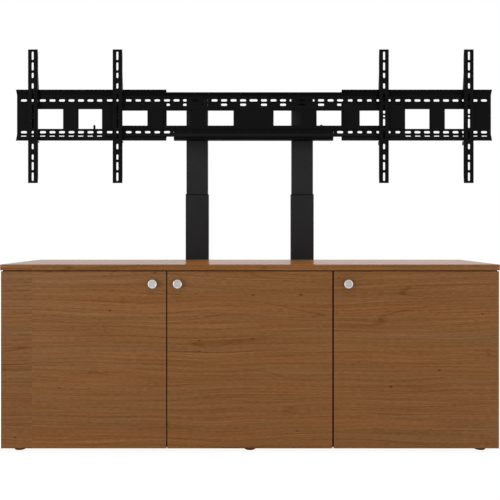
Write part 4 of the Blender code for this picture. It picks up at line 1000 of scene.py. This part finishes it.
def make_feet():
    """Levelling feet with a ribbed grip round the pad and a threaded stem."""
    crest, root, pitch, turns = THREAD
    for place in [f"{row}_{column}" for row in ("front", "rear") for column in BAYS]:
        node = f"{place}_foot"
        low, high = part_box(node)
        radius = (high.x - low.x) / 2
        profile = FOOT_SOLE + [(radius - inward, height) for inward, height in FOOT_RIM]
        profile += [(radius - inward, FOOT_PAD - down) for inward, down in FOOT_SHOULDER]
        profile += [(across, FOOT_PAD - down) for across, down in FOOT_NECK]
        for turn in range(turns):
            rise = FOOT_PAD + THREAD_START + pitch * turn
            profile += [(crest, rise), (root, rise + pitch / 2)]
        profile += [(root, high.z - low.z), (0, high.z - low.z)]
        mesh = turned(profile, 2 * FOOT_RIBS)
        pull = 1 - RIB_DEPTH / radius
        mesh = fluted(mesh, FOOT_RIBS, radius - RIB_MARGIN, radius + RIB_MARGIN, pull)
        x, y, _ = middle_of(node)
        mesh = moved(mesh, (x, y, low.z))
        add_piece(f"{node}_moulding", mesh, plastic, f"{place}_leveller", [node], smooth=ROUND)


def sized(profile, radius, height):
    """A profile in shares brought to its size."""
    return [(radius * across, height * up) for across, up in profile]


def pan_head(radius, height):
    """A pan-head screw with a lobed recess."""
    mesh = turned(sized(PAN_HEAD, radius, height), 2 * LOBES)
    return fluted(mesh, LOBES, 0, LOBE_LIMIT * radius, LOBE_PULL)


def hex_head(radius, height):
    """A hexagon bolt head on a washer."""
    shape = bmesh.new()
    for profile, steps in ((WASHER, WASHER_STEPS), (HEX_HEAD, 6)):
        part = turned(sized(profile, radius, height), steps)
        shape.from_mesh(part)
        bpy.data.meshes.remove(part)
    return as_mesh(shape)


def make_hinge_screws():
    """Screws that hold the hinge plates to the cabinet and the hinge cups to the doors."""
    head = pan_head(*HINGE_SCREW)
    on_plates = []
    for door, (panel, hand) in HINGE_SIDES.items():
        face = side_of(panel, hand) + hand * PLATE_FACE
        on_cups = []
        for level in ("upper", "lower"):
            arm = f"{door}_door_{level}_hinge_arm"
            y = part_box(arm)[1].y - PLATE_MIDDLE
            on_plates += [((face, y, middle_of(arm)[2] + z), (hand, 0, 0)) for z in PLATE_SCREW_Z]
            cup = f"{door}_door_{level}_hinge_cup"
            x, _, middle = middle_of(cup)
            on_cups += [((x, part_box(cup)[1].y, middle + z), (0, 1, 0)) for z in CUP_SCREW_Z]
        fasten(f"{door}_cup_screws", on_cups, head, nickel, f"{door}_door_leaf")
    fasten("hinge_plate_screws", on_plates, head, nickel, "cabinet")


def make_back_fasteners():
    """Screws round the back panels, bolts on the tie bars and base plates, and the control box's screws."""
    bars = ("upper_tie_bar", "lower_tie_bar")
    margin = Vector((BAR_MARGIN, BAR_MARGIN, BAR_MARGIN))
    covered = [(low - margin, high + margin) for low, high in map(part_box, bars)]
    places = []
    for bay in BAYS:
        low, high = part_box(f"{bay}_back_panel")
        middle = (low.x + high.x) / 2
        rise = high.z - low.z - 2 * SCREW_INSET
        for x in (low.x + SCREW_INSET, middle, high.x - SCREW_INSET):
            for share in (0, 1 / 3, 2 / 3, 1):
                z = low.z + SCREW_INSET + share * rise
                on_edge = x != middle or share in (0, 1)
                if on_edge and not any(a.x < x < b.x and a.z < z < b.z for a, b in covered):
                    places.append(((x, high.y, z), (0, 1, 0)))
    fasten("back_panel_screws", places, pan_head(*PANEL_SCREW), zinc, "cabinet")
    tubes = [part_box(f"{side}_outer_tube") for side in SIDES]
    middle = (tubes[0][0].x + tubes[1][1].x) / 2
    inner = (tubes[1][0].x - tubes[0][1].x) / 2 - BAR_BOLT_INSET
    places = []
    for bar in bars:
        for x in (middle - inner, middle, middle + inner):
            places.append(((x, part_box(bar)[1].y, middle_of(bar)[2]), (0, 1, 0)))
    for side, (tube_low, tube_high) in zip(SIDES, tubes):
        low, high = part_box(f"{side}_base_plate")
        for x in ((low.x + tube_low.x) / 2, (high.x + tube_high.x) / 2):
            for y in (low.y + BASE_BOLT_INSET, high.y - BASE_BOLT_INSET):
                places.append(((x, y, high.z), (0, 0, 1)))
    fasten("column_bolts", places, hex_head(*COLUMN_BOLT), zinc, "cabinet")
    low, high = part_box("lift_control_box")
    places = []
    for x in (low.x + SCREW_INSET, high.x - SCREW_INSET):
        for z in (low.z + SCREW_INSET, high.z - SCREW_INSET):
            places.append(((x, low.y, z), (0, -1, 0)))
    fasten("control_box_screws", places, pan_head(*BOX_SCREW), zinc, "cabinet")


def make_shelf_fittings():
    """Shelf pins, and the sleeves above and below them that let a shelf move."""
    pins = []
    sleeves = []
    for bay, walls in SHELF_WALLS.items():
        low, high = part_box(f"{bay}_shelf")
        z = low.z - PIN_RADIUS
        for panel, hand in walls.items():
            face = side_of(panel, hand)
            for y in (low.y + PIN_INSET, high.y - PIN_INSET):
                pins.append(((face, y, z), (hand, 0, 0)))
                for step in range(-SLEEVES, SLEEVES + 1):
                    if step:
                        sleeves.append(((face, y, z + SLEEVE_PITCH * step), (hand, 0, 0)))
    fasten("shelf_pins", pins, turned(SHELF_PIN, PIN_STEPS), nickel, "cabinet")
    fasten("shelf_sleeves", sleeves, turned(SLEEVE, SLEEVE_STEPS), plastic, "cabinet")


def make_bumpers():
    """Soft bumpers behind the free edge of each door."""
    dome = turned(BUMPER, BUMPER_STEPS)
    from_side, from_end = BUMPER_INSET
    for door, (_, hand) in HINGE_SIDES.items():
        low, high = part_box(f"{door}_door")
        x = side_of(f"{door}_door", hand) - hand * from_side
        places = [((x, high.y, z), (0, 1, 0)) for z in (low.z + from_end, high.z - from_end)]
        fasten(f"{door}_door_bumpers", places, dome, silicone, f"{door}_door_leaf")


def make_grommets():
    """Moulded rings in the cable outlets of the back panels."""
    for bay in BAYS:
        node = f"{bay}_back_panel"
        low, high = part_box(node)
        throat = high.y - low.y
        profile = [(GROMMET_BORE, 0), (GROMMET_NECK, 0), (GROMMET_NECK, throat)]
        profile += [(radius, throat + rise) for radius, rise in GROMMET_LIP]
        mesh = turned(profile + profile[:1], GROMMET_STEPS)
        mesh = moved(mesh, (middle_of(node)[0], low.y, OUTLET_HEIGHT), (0, 1, 0))
        add_piece(f"{bay}_cable_grommet", mesh, plastic, "cabinet", smooth=ROUND_FITTING)


def make_batten():
    """A batten behind the bottom panel that closes the corner under the back panels."""
    low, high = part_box("bottom_panel")
    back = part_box("left_back_panel")
    outline = rectangle((high.y, low.z + BATTEN_EASE), (back[1].y, back[0].z))
    batten = softened(prism(outline, "X", low.x, high.x), BATTEN_EASE)
    add_piece("back_batten", batten, lining, "cabinet")


def make_plates():
    """Base plates, tie bars and the control box with softened edges; the box also gets vent grooves."""
    for node in ("left_base_plate", "right_base_plate", "upper_tie_bar", "lower_tie_bar"):
        mesh = softened(frame["nodes"][node].data, STEEL_SOFTENING)
        add_piece(f"{node}_steel", mesh, mount_black, "cabinet", [node], smooth=ROUND_FITTING)
    node = "lift_control_box"
    x, _, z = middle_of(node)
    start = (x - GROOVE_PITCH * (GROOVES - 1) / 2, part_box(node)[0].y + GROOVE_DEPTH, z)
    row = slot_row(start, (GROOVE_PITCH, 0.0, 0.0), GROOVES, *GROOVE, GROOVE_DEPTH + CUT_MARGIN)
    mesh = perforated(softened(frame["nodes"][node].data, BOX_SOFTENING), [row], plastic)
    add_piece("control_box_housing", mesh, plastic, "cabinet", [node])


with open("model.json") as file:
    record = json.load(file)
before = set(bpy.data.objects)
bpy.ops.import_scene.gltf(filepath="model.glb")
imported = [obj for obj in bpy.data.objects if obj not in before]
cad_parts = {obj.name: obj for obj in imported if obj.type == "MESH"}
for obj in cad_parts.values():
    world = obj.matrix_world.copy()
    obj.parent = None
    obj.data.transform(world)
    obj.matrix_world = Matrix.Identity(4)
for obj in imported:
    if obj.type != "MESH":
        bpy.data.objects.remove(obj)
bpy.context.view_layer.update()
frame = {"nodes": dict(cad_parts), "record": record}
cad_slots = {row["node"]: row["material_slot"] for row in frame["record"]["subparts"]}
bpy.context.scene.view_settings.view_transform = "Standard"
make_camera()
make_studio()

for name, (nodes, axes, woods, sheen, *tints) in LAMINATES.items():
    dress(nodes, laminate(name, axes, woods, *sheen, *tints))
lining = bpy.data.materials["walnut_lining_backs"]

# Coats: the mount's black is the deepest, the tubes are a shade greyer, the plastic has more sheen, and the
# bumpers' rubber is milky
mount_black = coated("black_powder_coated_steel", "#0F0F0F", 0.002, 0.45, 0.03)
column_black = coated("black_anodised_aluminium_tube", "#2B2B2C", 0.0012, 0.5, 0.03)
plastic = coated("moulded_black_nylon", "#111111", 0.0012, 0.55, 0.06)
silicone = coated("milky_silicone_rubber", "#B9B6AE", 0.001, 0.35, 0.4)

# Metals: the knobs are warm and satin, with a painted highlight on the rim and painted shade on the edge; the
# hinges are brighter, and the screws a duller blue-grey
knob_nickel = turned_nickel("turned_satin_nickel", "#AEACAA", "#C3C1BE", "#6E6A64")
nickel = plated("nickel_plated_hinge_steel", "#B9B7B2", 0.0045, 0.28)
zinc = plated("zinc_plated_screw_steel", "#A9ABAC", 0.003, 0.36)

by_slot = {"mount": mount_black, "column": column_black, "plastic": plastic}
by_slot |= {"knob": knob_nickel, "hinge": nickel}
for slot, material in by_slot.items():
    dress([node for node in cad_slots if cad_slots[node] == slot], material)

slot_tree = make_slot_tree()
head_tree = make_head_tree()
make_outer_rail("left", -1)
make_outer_rail("right", 1)
make_centre_rail()
make_display_arms()
make_carriage_fittings()
make_columns()
make_knobs()
make_feet()
make_plates()
make_hinge_screws()
make_back_fasteners()
make_shelf_fittings()
make_bumpers()
make_grommets()
make_batten()
